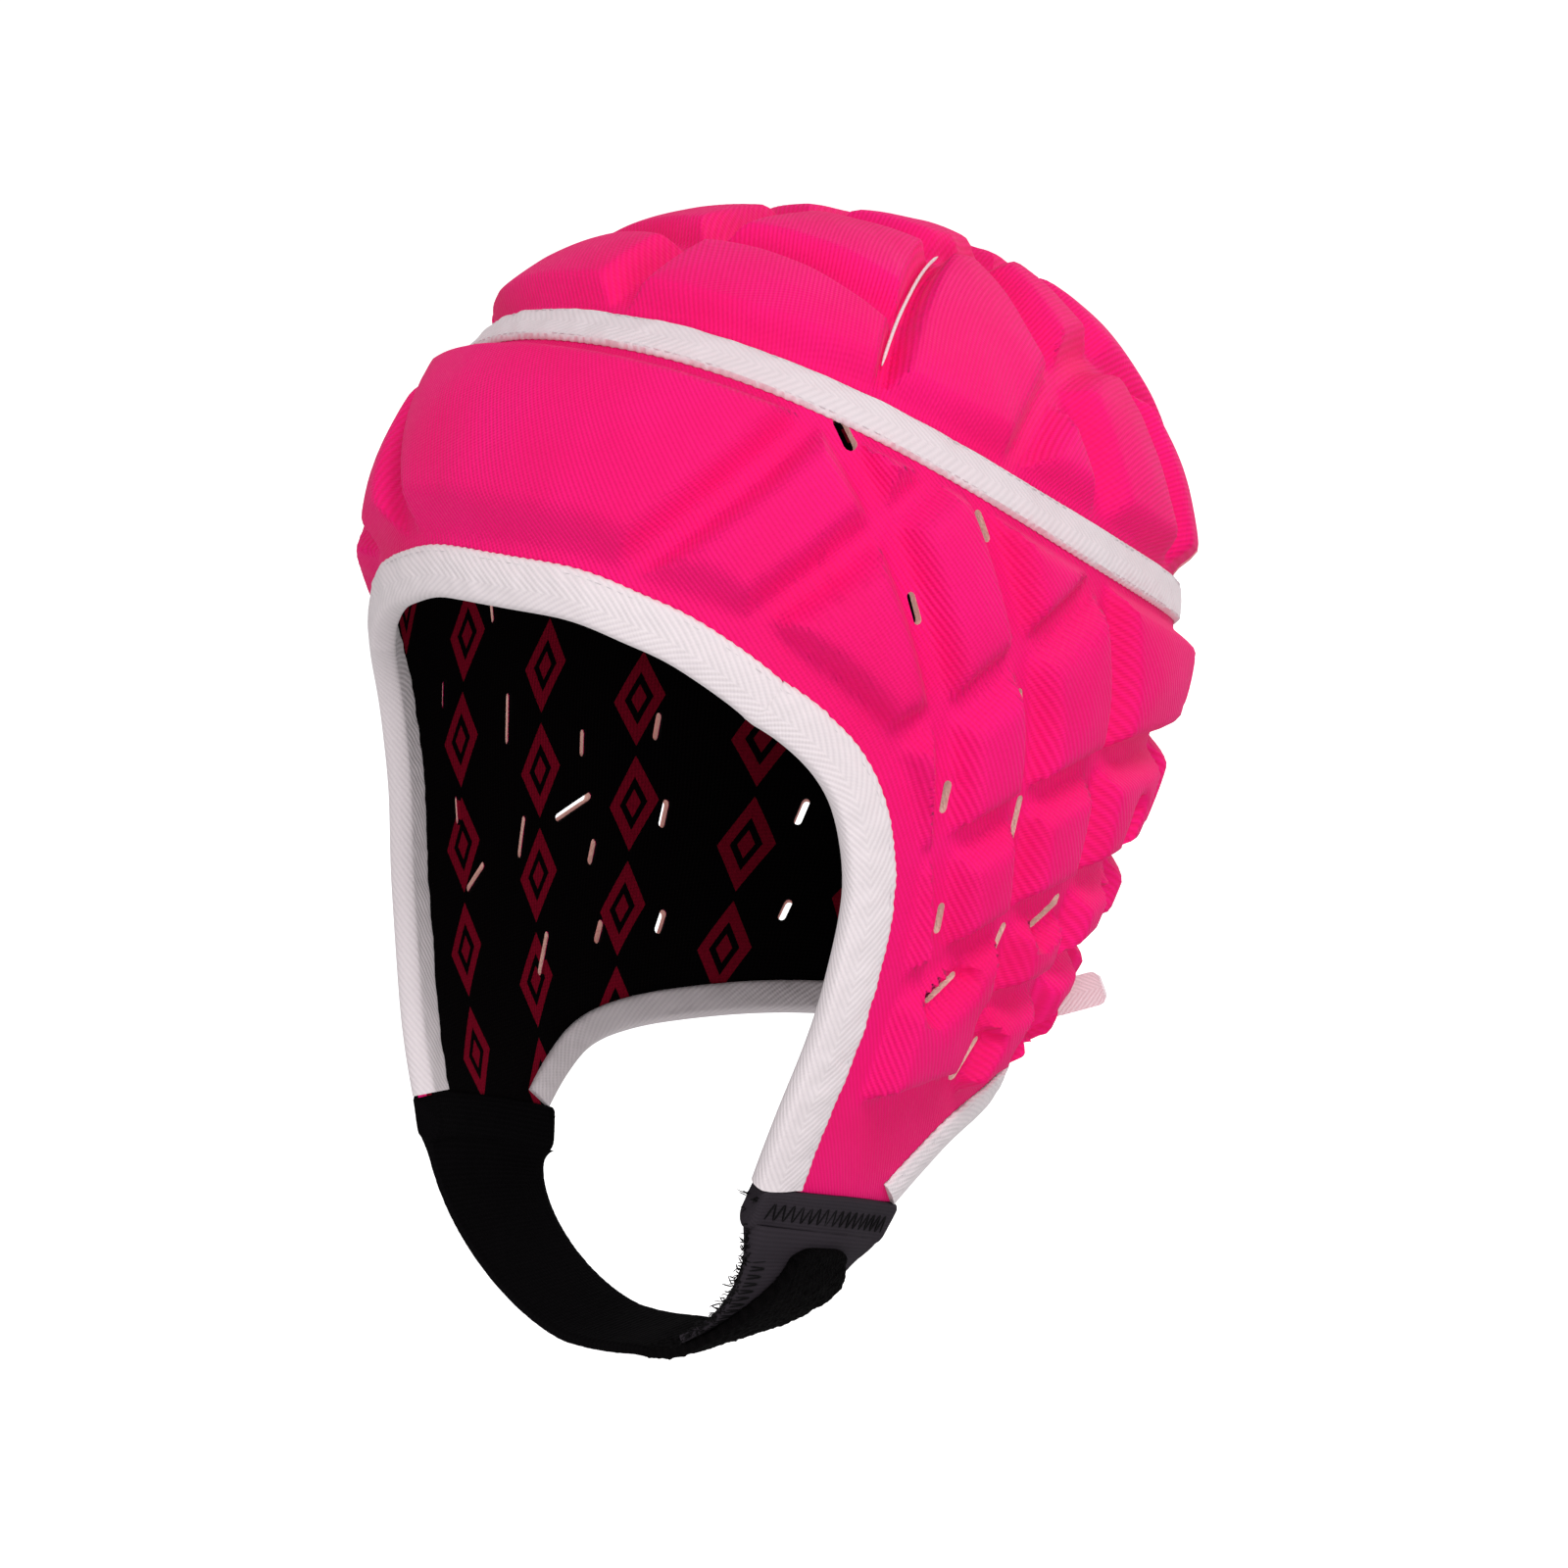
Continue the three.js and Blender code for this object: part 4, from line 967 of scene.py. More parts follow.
def side_piece():
    angle = ring_angles(SIDE_COLUMNS)
    top = beside_seam(angle, TAPE_WIDTH / 2 + TAPE_MARGIN)
    foot = foot_levels(angle)
    shares = np.linspace(0, 1, SIDE_RINGS + 1)
    levels = top[None] + (foot - top)[None] * shares[:, None]
    angles = np.broadcast_to(angle, levels.shape)
    heights = pad_height(angles, levels, False)
    seam_edge = beside_seam(angle, SEAM_GAP / 2)
    outer = [raised(angle, seam_edge, WEB_TOP)] + list(raised(angles, levels, heights))
    inner_levels = top[None] + (foot - top)[None] * np.linspace(0, 1, INNER_RINGS + 1)[:, None]
    inner = [raised(angle, seam_edge, PANEL_INSIDE)]
    inner += [raised(angle, row, PANEL_INSIDE) for row in inner_levels]
    return trimmed("side_knit", outer, inner)


def lining_piece():
    angle = ring_angles(LINING_COLUMNS)
    crown_edge = beside_seam(angle, -TAPE_WIDTH / 2 - TAPE_MARGIN)
    top = beside_seam(angle, TAPE_WIDTH / 2 + TAPE_MARGIN)
    foot = foot_levels(angle)

    def face(height):
        rings = [np.array([[0, 0, height]])]
        for share in np.linspace(0, 1, LINING_CROWN_RINGS + 1)[1:]:
            rings.append(raised(angle, crown_edge * share, height))
        for share in np.linspace(0, 1, LINING_SIDE_RINGS + 1):
            rings.append(raised(angle, top + (foot - top) * share, height))
        return rings

    return trimmed("lining_cloth", face(LINING_THICKNESS), face(0.0))


crown = crown_piece()
give_uv(crown, crown_uv(vertices_of(crown)))
finish_piece(crown, [pink_knit, cut_foam], 42, "crown_panel")
crown.data.polygons.foreach_set("material_index", foam_faces(crown))

side = side_piece()
give_uv(side, side_uv(vertices_of(side)), 2 * math.pi * ROUND_RADIUS)
finish_piece(side, [pink_knit, cut_foam], 42, "side_panel")
side.data.polygons.foreach_set("material_index", foam_faces(side))

lining = lining_piece()
give_uv(lining, side_uv(vertices_of(lining)), 2 * math.pi * ROUND_RADIUS)
finish_piece(lining, lining_knit, 42, "lining")

for cutter in cutters:
    bpy.data.objects.remove(cutter)

# Tapes

SCALLOP_PITCH = 2.2
SEAM_TAPE_COLUMNS = 1080
SEAM_TAPE_POINTS = 15  # across its top
SEAM_STITCH_ASIDE = 3.75
BINDING_STITCH_INSET = 1.5
BINDING_LIFT = 0.1
BINDING_DROP = 0.12
HOLDER_LIFT = 0.45
HOLDER_EXTRA_LAP = 0.6
STITCH_PITCH = 2.7
STITCH_LENGTH = 1.7
STITCH_RADIUS = 0.14
ZIGZAG_LENGTH = 4.4
ZIGZAG_RADIUS = 0.24
TAPE_EDGE_SHARE = 0.86  # of half the width, beyond which a tape thins out


def tape_section(half, low, high, count):
    """A flat tape's outline as (distance, height), with its edges rounded off."""
    thick = high - low
    top = [(d, low + thick * (1 - 0.75 * max(0.0, abs(d) / half - TAPE_EDGE_SHARE) / (1 - TAPE_EDGE_SHARE)))
           for d in np.linspace(-half, half, count)]
    bottom = [(half, low), (0, low), (-half, low)]
    return top + bottom


def seam_tape_piece():
    angle = ring_angles(SEAM_TAPE_COLUMNS) + 180
    section = tape_section(TAPE_WIDTH / 2, WEB_TOP + 0.05, WEB_TOP + CLEARANCE + TAPE_THICKNESS,
                           SEAM_TAPE_POINTS)
    columns = []
    run = lengths_along(head_point(angle, seam_level(angle)))
    scallop = 0.1 * np.sin(run * 2 * math.pi / SCALLOP_PITCH)
    for distance, height in section:
        level = beside_seam(angle, distance)
        is_edge = abs(distance) > TAPE_WIDTH / 2 - 0.1
        level = level + np.sign(distance) * scallop * is_edge / SKIRT_DEPTH
        point = head_point(angle, level)
        lift = 0.0
        if height > WEB_TOP + 0.5:
            stitch_dip = 0.28 * math.exp(-((abs(distance) - SEAM_STITCH_ASIDE) / 0.5) ** 2)
            lift = 0.16 * wobble(point, 9, 11) + 0.08 * wobble(point, 4, 12) - stitch_dip
        columns.append(raised(angle, level, height + lift))
    rows = np.stack(columns, 1)
    length = lengths_along(rows[:, SEAM_TAPE_POINTS // 2])
    obj = new_object("seam_tape_cloth", *loft(rows, closed_rows=True))
    give_uv(obj, grid_uv(length, [d for d, _ in section]), length[-1] + length[1])
    return obj


def fold_along(rim, section, scallop=None):
    """Sections across a rim, swept along it, with their far edges let out and in."""
    angle, level = rim[:, 0], rim[:, 1]
    points = head_point(angle, level)
    after = np.concatenate([points[1:], points[-1:]])
    before = np.concatenate([points[:1], points[:-1]])
    along = unit(after - before)
    inwards = unit(np.cross(head_frame(angle, level)[2], along))
    section = np.asarray(section, float)
    n, k = len(rim), len(section)
    grid_angle = np.repeat(angle[:, None], k, 1)
    grid_level = np.repeat(level[:, None], k, 1)
    direction = np.repeat(inwards[:, None], k, 1)
    distance = np.repeat(section[None, :, 0], n, 0)
    if scallop is not None:
        distance[:, section[:, 0] > section[:, 0].max() - 0.6] += scallop[:, None]
    moved_angle, moved_level = move_on_head(grid_angle, grid_level, direction, distance)
    return moved_angle, moved_level, np.broadcast_to(section[:, 1], (n, k))


def fold_section(width, inner_width, thickness, base, top, bottom, outside=10):
    """Outline of a tape folded over a rim, the lengths along it, and how many points are outside."""
    outer = [(width, top + 0.2 * thickness), (width - 0.25, top + 0.75 * thickness)]
    outer += [(d, top + thickness) for d in np.linspace(width - 0.9, 0.0, outside)]
    centre = (top + bottom) / 2
    half = (top - bottom) / 2 + thickness
    outer += [(-(base + CLEARANCE) * math.sin(t), centre + half * math.cos(t))
              for t in np.linspace(0, math.pi, 11)[1:-1]]
    outer += [(d, bottom - thickness) for d in np.linspace(0.0, inner_width - 0.9, outside - 2)]
    outer += [(inner_width - 0.25, bottom - 0.75 * thickness), (inner_width, bottom - 0.2 * thickness)]
    inner = [(inner_width, bottom), (inner_width / 2, bottom), (-CLEARANCE, bottom), (-CLEARANCE, top),
             (width / 2, top), (width, top)]
    section = np.array(outer + inner)
    return section, lengths_along(section), len(outer)


def binding_piece(name, rim, width, node):
    section, lengths, outside = fold_section(width, width * INNER_LEG_SHARE, BINDING_THICKNESS,
                                             BINDING_THICKNESS, WEB_TOP + BINDING_LIFT, -BINDING_DROP)
    along = lengths_along(on_head(rim))
    angle, level, height = fold_along(rim, section, 0.13 * np.sin(along * 2 * math.pi / SCALLOP_PITCH))
    point = head_point(angle, level)
    is_outer = np.arange(len(section)) < outside
    is_leg = is_outer & (section[:, 0] > 0.2)
    pucker = 0.13 * wobble(point, 8, 21) + 0.07 * wobble(point, 3.5, 22)
    sign = np.where(section[:, 1] > 0, 1.0, -1.0)
    from_stitches = section[:, 0] - (width - BINDING_STITCH_INSET)
    stitch_dip = 0.3 * np.exp(-(from_stitches / 0.5) ** 2) * (section[:, 1] > 2)
    pillow = 0.3 * np.sin(np.clip(section[:, 0] / width, 0, 1) * math.pi) * is_leg
    lift = (pucker * is_leg + pillow - stitch_dip * is_leg) * sign
    rows = raised(angle, level, height + lift)
    obj = new_object(name, *loft(rows))
    middle = lengths[outside] / 2
    give_uv(obj, grid_uv(along, lengths - middle * 0.55))
    return finish_piece(obj, edge_twill, 50, node)


seam_tape = finish_piece(seam_tape_piece(), seam_twill, 50, "seam_tape")
fine_face = np.concatenate([mirrored(walk(FACE_RIM, FINE_STEP)), walk(FACE_RIM, FINE_STEP)[1:]])
fine_neck = np.concatenate([walk(NECK_RIM, FINE_STEP), mirrored(walk(NECK_RIM, FINE_STEP))[1:] + ONE_TURN])
face_binding = binding_piece("face_edge_tape", fine_face, FACE_BINDING_WIDTH, "face_binding")
neck_binding = binding_piece("neck_edge_tape", fine_neck, NECK_BINDING_WIDTH, "neck_binding")


# Stitches and threads

def round_section(across, up, sides):
    """Directions from a tube's middle line to the corners of its section, for each point of the line."""
    turns = np.arange(sides) * 2 * math.pi / sides
    return across[:, None] * np.cos(turns)[None, :, None] + up[:, None] * np.sin(turns)[None, :, None]


def grains(name, middles, directions, ups, length, radius, material, slot):
    """Short stitches lying on a surface, each a small spindle."""
    profile = ((-1.0, 0.35), (-0.6, 0.9), (0.0, 1.0), (0.6, 0.9), (1.0, 0.35))
    directions = unit(directions)
    across = unit(np.cross(ups, directions))
    ups = unit(np.cross(directions, across))
    corners = round_section(across, ups, 6) * radius
    grid = np.stack([(middles + directions * a * length / 2)[:, None] + corners * r for a, r in profile], 1)
    obj = new_object(name, *join_parts([loft(g) for g in grid]))
    give_uv(obj, np.zeros((len(obj.data.vertices), 2)))
    return finish_piece(obj, material, 80)


def row_beside_seam(distance, height):
    fine = np.linspace(0, 360, 1441)[:-1]
    level = beside_seam(fine, distance)
    points = raised(fine, level, height)
    ups = head_frame(fine, level)[2]
    lengths = lengths_along(points)
    count = int(lengths[-1] / STITCH_PITCH)
    at = np.linspace(0, lengths[-1], count, endpoint=False)
    pick = np.searchsorted(lengths, at).clip(1, len(fine) - 2)
    return points[pick], points[pick + 1] - points[pick - 1], ups[pick]


def row_along_rim(rim, distance, height):
    angle, level, _ = fold_along(rim, [(distance, 0.0)])
    angle, level = angle[:, 0], level[:, 0]
    points = raised(angle, level, height)
    ups = head_frame(angle, level)[2]
    lengths = lengths_along(points)
    at = np.arange(STITCH_PITCH, lengths[-1] - STITCH_PITCH, STITCH_PITCH)
    pick = np.searchsorted(lengths, at).clip(1, len(points) - 2)
    return points[pick], points[pick + 1] - points[pick - 1], ups[pick]


def stacked(rows):
    return [np.concatenate(parts) for parts in zip(*rows)]


seam_tape_top = WEB_TOP + CLEARANCE + TAPE_THICKNESS
seam_rows = [row_beside_seam(side_of * SEAM_STITCH_ASIDE, seam_tape_top - STITCH_RADIUS)
             for side_of in (1, -1)]
rim_rows = [row_along_rim(rim, width - BINDING_STITCH_INSET, WEB_TOP + BINDING_THICKNESS)
            for rim, width in ((fine_face, FACE_BINDING_WIDTH), (fine_neck, NECK_BINDING_WIDTH))]
for name, rows in (("seam_stitches", seam_rows), ("binding_stitches", rim_rows)):
    grains(name, *stacked(rows), STITCH_LENGTH, STITCH_RADIUS, pale_thread, "edge_tape")


def cord_through(points, radius, sides=8):
    """A tube along points, narrowed at its ends."""
    ahead = unit(np.gradient(points, axis=0))
    guide = np.array([0.31, 0.22, 0.92])
    across = unit(np.cross(ahead, guide))
    up = np.cross(ahead, across)
    share = np.linspace(0, 1, len(points))
    taper = np.minimum(1, np.minimum(share, 1 - share) * 12 + 0.35)
    return loft(points[:, None] + round_section(across, up, sides) * (radius * taper)[:, None, None])


PIPING_STEP = 1.5
PIPING_STEPS_SHORT = 16
PIPING_ASIDE = 1.4  # degrees towards the face
PIPING_RISE = 2.2
PIPING_RADIUS = 0.4


def dart_piping():
    """A thin pale cord in each dart of the crown, which stops short of the dart's lower end."""
    places = plan_places(SLIT, PIPING_STEP)[1:-PIPING_STEPS_SHORT] - np.array([PIPING_ASIDE, 0])
    parts = [cord_through(raised(places[:, 0] * side_of, places[:, 1], WEB_TOP + PIPING_RISE), PIPING_RADIUS)
             for side_of in (1, -1)]
    obj = new_object("dart_piping", *join_parts(parts))
    give_uv(obj, vertices_of(obj)[:, :2])
    return finish_piece(obj, edge_twill, 60)


dart_piping()

# Chin strap and tab

FOOT_FRONT = raised(FOOT_ENDS["angle"][0], FOOT_ENDS["level"][0], WEB_TOP / 2)
FOOT_REAR = raised(FOOT_ENDS["angle"][1], FOOT_ENDS["level"][1], WEB_TOP / 2)
FOOT_MIDDLE = raised(sum(FOOT_ENDS["angle"]) / 2, sum(FOOT_ENDS["level"]) / 2, WEB_TOP / 2)
FOOT_CENTRE = (FOOT_FRONT + FOOT_REAR) / 2
FOOT_WIDTH = np.linalg.norm(FOOT_FRONT - FOOT_REAR)
SEWN_EDGE = 1.7  # how far the strap's cloth reaches past each side of a flap
FOOT_SLANT = (FOOT_REAR[2] - FOOT_FRONT[2]) / FOOT_WIDTH


def strap_frame(share):
    turn = share * math.pi / 2
    power = np.where(share < 0, RIGHT_ARC_POWER, LEFT_ARC_POWER)
    down = np.maximum(np.cos(turn), 0) ** power
    across = np.sign(turn) * np.abs(np.sin(turn)) ** power
    slant = FOOT_SLANT * (1 - down)
    bow = (FOOT_MIDDLE - FOOT_CENTRE)[None] * (1 - down)[:, None]
    bow[:, 0] *= np.sign(share)
    middle = np.stack([FOOT_CENTRE[0] * across, FOOT_CENTRE[1] - STRAP_FORWARD * down,
                       FOOT_CENTRE[2] - CLEARANCE - HOLDER_BASE / 2 - STRAP_DROP * down], -1)
    backwards = np.stack([np.zeros_like(slant), np.sqrt(1 - slant * slant), slant], -1)
    taper = np.maximum(np.cos(turn), 0) ** STRAP_TAPER_POWER
    foot_width = FOOT_WIDTH + 2 * SEWN_EDGE
    return middle, backwards, foot_width + (STRAP_MIDDLE_WIDTH - foot_width) * taper, bow


def strap_point(share, side, height, front=-1.0, rear=1.0):
    """A point of the strap's path: side runs from 0 at its front edge to 1 at its rear edge."""
    middle, backwards, width, bow = strap_frame(share)
    probe = STRAP_STEP / 5
    ahead = strap_frame(np.minimum(share + probe, 1))[0] - strap_frame(np.maximum(share - probe, -1))[0]
    outwards = unit(np.cross(backwards, ahead))
    a = front + (rear - front) * side
    point = (middle + backwards * (a * width / 2)[:, None] + bow * (1 - a * a)[:, None]
             + outwards * np.broadcast_to(height, share.shape)[:, None])
    return point, outwards, width


HOLDER_THICKNESS = 6.2


def finish_uv(obj, uv, material, node=None):
    give_uv(obj, uv)
    return finish_piece(obj, material, 60, node)


def whole_front(share):
    return np.full_like(share, -1.0)


def whole_rear(share):
    return np.full_like(share, 1.0)


def band_piece(start, end, height_at, front_at, rear_at, thickness, steps, columns, rough, seed=31,
               soften=0.35, round_end=0.0):
    """A strap's rows of sections with soft edges, and the cloth lengths along and across it."""
    even = np.linspace(0, 1, steps)
    sides = np.linspace(0, 1, columns)
    edge = np.minimum(1.0, np.minimum(sides, 1 - sides) / 0.035) ** 0.5
    plump = (1 - soften) + soften * edge
    there = [(s, -1.0, p) for s, p in zip(sides, plump)]
    outline = there + [(s, 1.0, p) for s, _, p in there[::-1]]
    columns_of = []
    across = []
    end_puff = np.clip((1 - even) / 0.02, 0, 1) ** 0.5 if round_end else np.ones(steps)
    for s, face, p in outline:
        share = start + (end - round_end * abs(2 * s - 1) ** 5 - start) * even
        swell = 1 + (HOLDER_THICKNESS / thickness - 1) * smoothstep(np.abs(share), 0.86, 1.0)
        height = height_at(share) + face * p * (0.4 + 0.6 * end_puff) * swell * thickness / 2
        point, outwards, width = strap_point(share, np.full(steps, s), height, front_at(share),
                                             rear_at(share))
        nap = wobble(point, 2.1, seed) + 0.7 * wobble(point, 1.2, seed + 1)
        columns_of.append(point + outwards * (face * rough * nap)[:, None])
        across.append((s - 0.5) * width)
    rows = np.stack(columns_of, 1)
    middle = rows[:, columns // 2]
    along = lengths_along(middle)
    return rows, grid_uv(along, np.stack(across, 1))


def holder_parts(side_of):
    """The strap cloth folded over the foot of a flap and sewn shut at both sides."""
    rim = walk(FOOT_ENDS, 1.0)
    if side_of < 0:
        rim = mirrored(rim)
    lap = STRAP_LAP + HOLDER_EXTRA_LAP
    section, lengths, outside = fold_section(lap, lap, LEAF_THICKNESS, HOLDER_BASE,
                                             WEB_TOP + HOLDER_LIFT, -0.25, 8)
    angle, level, height = fold_along(rim, section)
    rows = raised(angle, level, height + 0.1 * wobble(raised(angle, level, height), 7, 61))
    along = lengths_along(on_head(rim))
    parts = [loft(rows)]
    uvs = [grid_uv(along, lengths)[:, ::-1]]
    for last, before in ((0, 1), (-1, -2)):
        outline = rows[last, :outside]
        away = unit(outline.mean(0) - rows[before, :outside].mean(0))
        centre = outline.mean(0)
        steps = ((-0.6, 0.999), (0.6, 0.995), (1.3, 0.93), (SEWN_EDGE, 0.8))
        cap = np.stack([centre + (outline - centre) * size + away * out for out, size in steps])
        parts.append(loft(cap))
        uvs.append(grid_uv([out for out, _ in steps], lengths[:outside])[:, ::-1])
    return parts, np.concatenate(uvs)


STEP_OUT = TAB_THICKNESS / 2 + 2 * CLEARANCE + STRAP_THICKNESS / 2


def strap_height(share):
    end = TAB_TIP - STRAP_STEP
    return (STEP_OUT - 0.45) * smoothstep(share, end - STRAP_RAMP, end)


def strap_front(share):
    return -1 + STRAP_FRONT_IN * smoothstep(share, TAB_TIP, STRAP_END)


def strap_rear(share):
    return 1 - STRAP_REAR_IN * smoothstep(share, STRAP_END - 0.2, STRAP_TIP)


def strap_piece():
    band, band_uv = band_piece(-1, NAP_START + NAP_LAP, strap_height, strap_front, whole_rear,
                               STRAP_THICKNESS, 170, 27, rough=0.035)
    parts, holder_uv = holder_parts(-1)
    obj = new_object("strap_band", *join_parts([loft(band)] + parts))
    return finish_uv(obj, np.concatenate([band_uv, holder_uv]), strap_knit, "chin_strap")


def nap_piece():
    """The strap's free end, napped so that it grips the tab."""
    rows, uv = band_piece(NAP_START, STRAP_TIP, strap_height, strap_front, strap_rear,
                          STRAP_THICKNESS * 1.02, 210, 71, rough=0.13, seed=41, soften=0.55, round_end=0.04)
    return finish_uv(new_object("strap_nap", *loft(rows)), uv, loop_nap)


def tab_rear(share):
    """The tab runs to a blunt point at its tip."""
    return -0.55 + 1.55 * smoothstep(share, TAB_TIP, TAB_TIP + 0.2)


def tab_piece():
    band, band_uv = band_piece(TAB_TIP, 1, np.zeros_like, whole_front, tab_rear, TAB_THICKNESS, 130, 41,
                               rough=0.03, seed=51)
    parts, holder_uv = holder_parts(1)
    obj = new_object("strap_tab", *join_parts([loft(band)] + parts))
    return finish_uv(obj, np.concatenate([band_uv, holder_uv]), tab_twill, "strap_anchor")


strap_piece()
nap_piece()
tab_piece()


def tab_stitches():
    """Zigzag stitches along the tab's top edge and down its front edge."""
    rim = walk(FOOT_ENDS, 0.25)
    middles = []
    directions = []
    ups = []
    for i in range(6, len(rim) - 6, 5):
        lean = 1 if (i // 5) % 2 else -1
        low = fold_along(rim[i - 1:i + 2], [(1.2, 0.0), (5.6, 0.0)])
        angle, level = low[0][1], low[1][1]
        ends = raised(angle, level, WEB_TOP + HOLDER_LIFT + LEAF_THICKNESS + 0.08)
        sideways = unit(on_head(rim[i + 1:i + 2])[0] - on_head(rim[i - 1:i])[0]) * 0.55 * lean
        middles.append(ends.mean(0))
        directions.append(ends[1] - ends[0] + sideways * 2)
        ups.append(head_frame(angle[0], level[0])[2])
    shares = np.arange(TAB_TIP + 0.04, 0.97, 0.016)
    for k, share in enumerate(shares):
        at = np.array([share])
        lean = 0.006 if k % 2 else -0.006
        near, outwards, _ = strap_point(at, np.array([1.0 / 40]), TAB_THICKNESS / 2 + 0.05)
        far, _, _ = strap_point(at + lean, np.array([5.5 / 40]), TAB_THICKNESS / 2 + 0.05)
        middles.append(((near + far) / 2)[0])
        directions.append((far - near)[0])
        ups.append(outwards[0])
    return grains("tab_stitches", np.array(middles), np.array(directions), np.array(ups),
                  ZIGZAG_LENGTH, ZIGZAG_RADIUS, dark_thread, "tab_cloth")


tab_stitches()


def frayed_threads():
    """Loose yarn ends along the cut edges of the tab and of the strap."""
    parts = []

    def tuft(root, outward, spread, count, length):
        for _ in range(count):
            aim = unit(outward + chance.normal(size=3) * spread)
            bend = chance.normal(size=3) * 0.5
            s = np.linspace(0, 1, 6)[:, None]
            path = root + chance.normal(size=3) * 0.35
            path = path + aim * s * length * chance.uniform(0.4, 1.1) + bend * s * s * 1.4
            parts.append(cord_through(path, chance.uniform(0.10, 0.19), 5))

    for share in np.linspace(TAB_TIP + 0.03, 1, 110):
        at = np.array([share])
        root, _, _ = strap_point(at, np.zeros(1), chance.uniform(-0.6, 0.6))
        inner, _, _ = strap_point(at, np.full(1, 0.1), 0.0)
        tuft(root[0], unit(root[0] - inner[0]), 0.55, 2, 1.3)
    rim = walk(FOOT_ENDS, 1.0)
    for side_of, from_front, count in ((1, True, 9), (-1, False, 6)):
        places = rim[:2] if from_front else rim[-2:]
        angle, level = places[0] if from_front else places[-1]
        corner_angle, corner_level = angle * side_of, level - 5.5 / SKIRT_DEPTH
        for height in (-1.2, 1.0, 3.6):
            root = raised(corner_angle, corner_level + chance.uniform(-0.03, 0.03), height)
            outward = np.array([0, -1.0 if from_front else 1.0, 0.15])
            tuft(root, outward, 0.5, count, 2.2)
    obj = new_object("frayed_ends", *join_parts(parts))
    give_uv(obj, np.zeros((len(obj.data.vertices), 2)))
    return finish_piece(obj, dark_thread, 80)


frayed_threads()


def rear_tape_piece():
    angle, level = REAR_TAPE_ROOT
    lift = WEB_TOP + 0.6 + CLEARANCE + BINDING_THICKNESS + REAR_TAPE_THICKNESS / 2
    root = raised(angle, level, lift)
    around, _, outwards = head_frame(np.float64(angle), np.float64(level))
    along = -unit(around)
    aim = unit(np.array(REAR_TAPE_AIM))
    third = REAR_TAPE_LENGTH / 3
    knots = np.stack([root, root + along * third, root + along * third + aim * third,
                      root + along * third + aim * 2 * third])
    t = np.linspace(0, 1, 400)[:, None]
    curve = (knots[0] * (1 - t) ** 3 + 3 * knots[1] * t * (1 - t) ** 2 + 3 * knots[2] * t * t * (1 - t)
             + knots[3] * t**3)
    curve = stepped(curve, curve, 0.9)
    tangent = unit(np.gradient(curve, axis=0))
    share = np.linspace(0, 1, len(curve))[:, None]
    level_out = unit(np.stack([-tangent[:, 1], tangent[:, 0], np.zeros(len(curve))], -1))
    across = level_out * share + outwards * (1 - share)
    across = unit(across - (across * tangent).sum(-1, keepdims=True) * tangent)
    upwards = np.cross(tangent, across)
    half = REAR_TAPE_WIDTH / 2
    left = np.clip((1 - share) * REAR_TAPE_LENGTH / REAR_TAPE_CORNER, 0.02, 1)
    narrow = 1 - 0.4 * (1 - np.sqrt(1 - (1 - left) ** 2))
    section = tape_section(half, -REAR_TAPE_THICKNESS / 2, REAR_TAPE_THICKNESS / 2, 13)
    rows = np.stack([curve + upwards * d * narrow + across * (h + 0.1 * np.sin(share * 21 + d))
                     for d, h in section], 1)
    obj = new_object("rear_tape_cloth", *loft(rows))
    length = lengths_along(curve)
    return finish_uv(obj, grid_uv(length, [d for d, _ in section]), plain_tape, "rear_tape")


rear_tape_piece()

# Stage, lights and camera

FLOOR_DEPTH = -0.36
FLOOR_REACH = 60
floor_corners = [(x * FLOOR_REACH, y * FLOOR_REACH, FLOOR_DEPTH)
                 for x, y in ((-1, -1), (1, -1), (1, 1), (-1, 1))]
floor_mesh = bpy.data.meshes.new("floor")
floor_mesh.from_pydata(floor_corners, [], [(0, 1, 2, 3)])
floor = bpy.data.objects.new("floor", floor_mesh)
bpy.context.scene.collection.objects.link(floor)
pale_floor = Graph("pale_floor")
pale_floor.look({"Base Color": (0.93, 0.93, 0.93), "Roughness": 0.9, "Emission Color": (1.0, 1.0, 1.0),
                 "Emission Strength": 0.6})
floor_mesh.materials.append(pale_floor.material)
floor.visible_diffuse = False
floor.visible_glossy = False

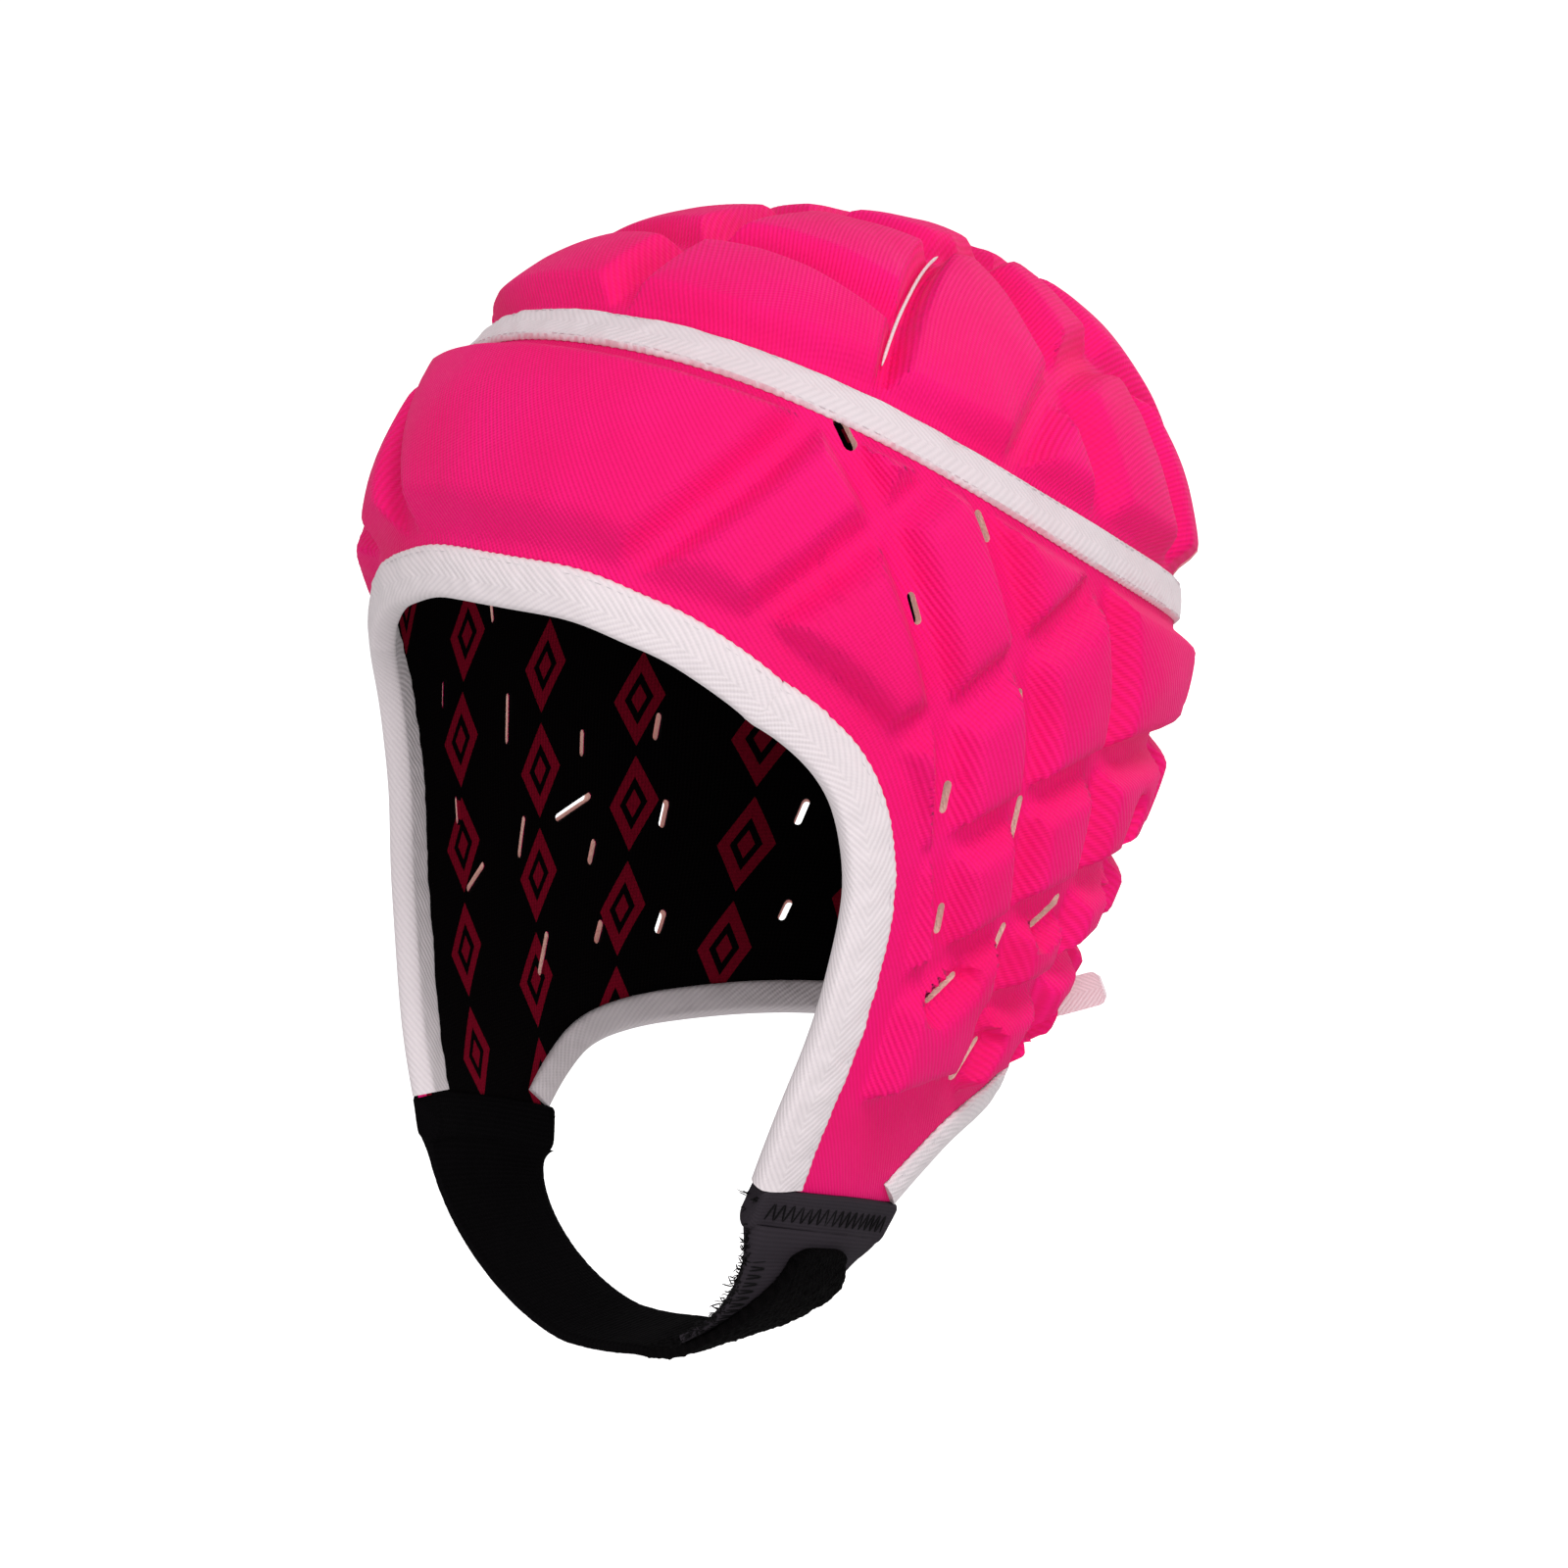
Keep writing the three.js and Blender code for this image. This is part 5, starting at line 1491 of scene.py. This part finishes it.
world = bpy.data.worlds.new("studio")
bpy.context.scene.world = world
world.use_nodes = True
background = world.node_tree.nodes["Background"].inputs
background[0].default_value = (1, 1, 1, 1)
background[1].default_value = 0.52


def facing(right, up, back, place):
    """The matrix of a light or camera at a place, which looks away from back."""
    return Matrix(((*right, 0), (*up, 0), (*back, 0), (*place, 1))).transposed()


def area_light(name, place, target, size, power):
    light = bpy.data.lights.new(name, "AREA")
    light.shape = "SQUARE"
    light.size = size
    light.energy = power
    obj = bpy.data.objects.new(name, light)
    back = unit(np.array(place, float) - np.array(target, float))
    right = unit(np.cross((0, 0, 1), back))
    obj.matrix_world = facing(right, np.cross(back, right), back, place)
    bpy.context.scene.collection.objects.link(obj)


CAP_MIDDLE = (0, 0, -0.1)
area_light("key", (1.3, -0.6, 1.7), CAP_MIDDLE, 0.7, 19)
area_light("fill", (-1.2, -1.4, 0.25), CAP_MIDDLE, 1.0, 4.5)
area_light("low", (1.4, -1.1, -0.3), CAP_MIDDLE, 1.0, 18)
area_light("rim", (0.3, 1.6, 0.8), CAP_MIDDLE, 0.9, 7)

CAMERA_AZIMUTH = math.radians(40)
CAMERA_ELEVATION = math.radians(14)
CAMERA_DISTANCE = 1.2
CAMERA_TARGET = np.array([0, 0, -0.096])
CAMERA_ASIDE = 0.00535
CAMERA_DOWN = 0.03058
back = np.array([math.sin(CAMERA_AZIMUTH) * math.cos(CAMERA_ELEVATION),
                 -math.cos(CAMERA_AZIMUTH) * math.cos(CAMERA_ELEVATION), math.sin(CAMERA_ELEVATION)])
right = np.array([math.cos(CAMERA_AZIMUTH), math.sin(CAMERA_AZIMUTH), 0])
up = np.cross(back, right)
place = CAMERA_TARGET + back * CAMERA_DISTANCE + right * CAMERA_ASIDE - up * CAMERA_DOWN
camera_data = bpy.data.cameras.new("camera")
camera_data.sensor_width = 36
camera_data.lens = 116.1
camera_data.clip_end = 200
camera = bpy.data.objects.new("camera", camera_data)
camera.matrix_world = facing(right, up, back, place)
bpy.context.scene.collection.objects.link(camera)
bpy.context.scene.camera = camera
bpy.context.scene.view_settings.view_transform = "Standard"
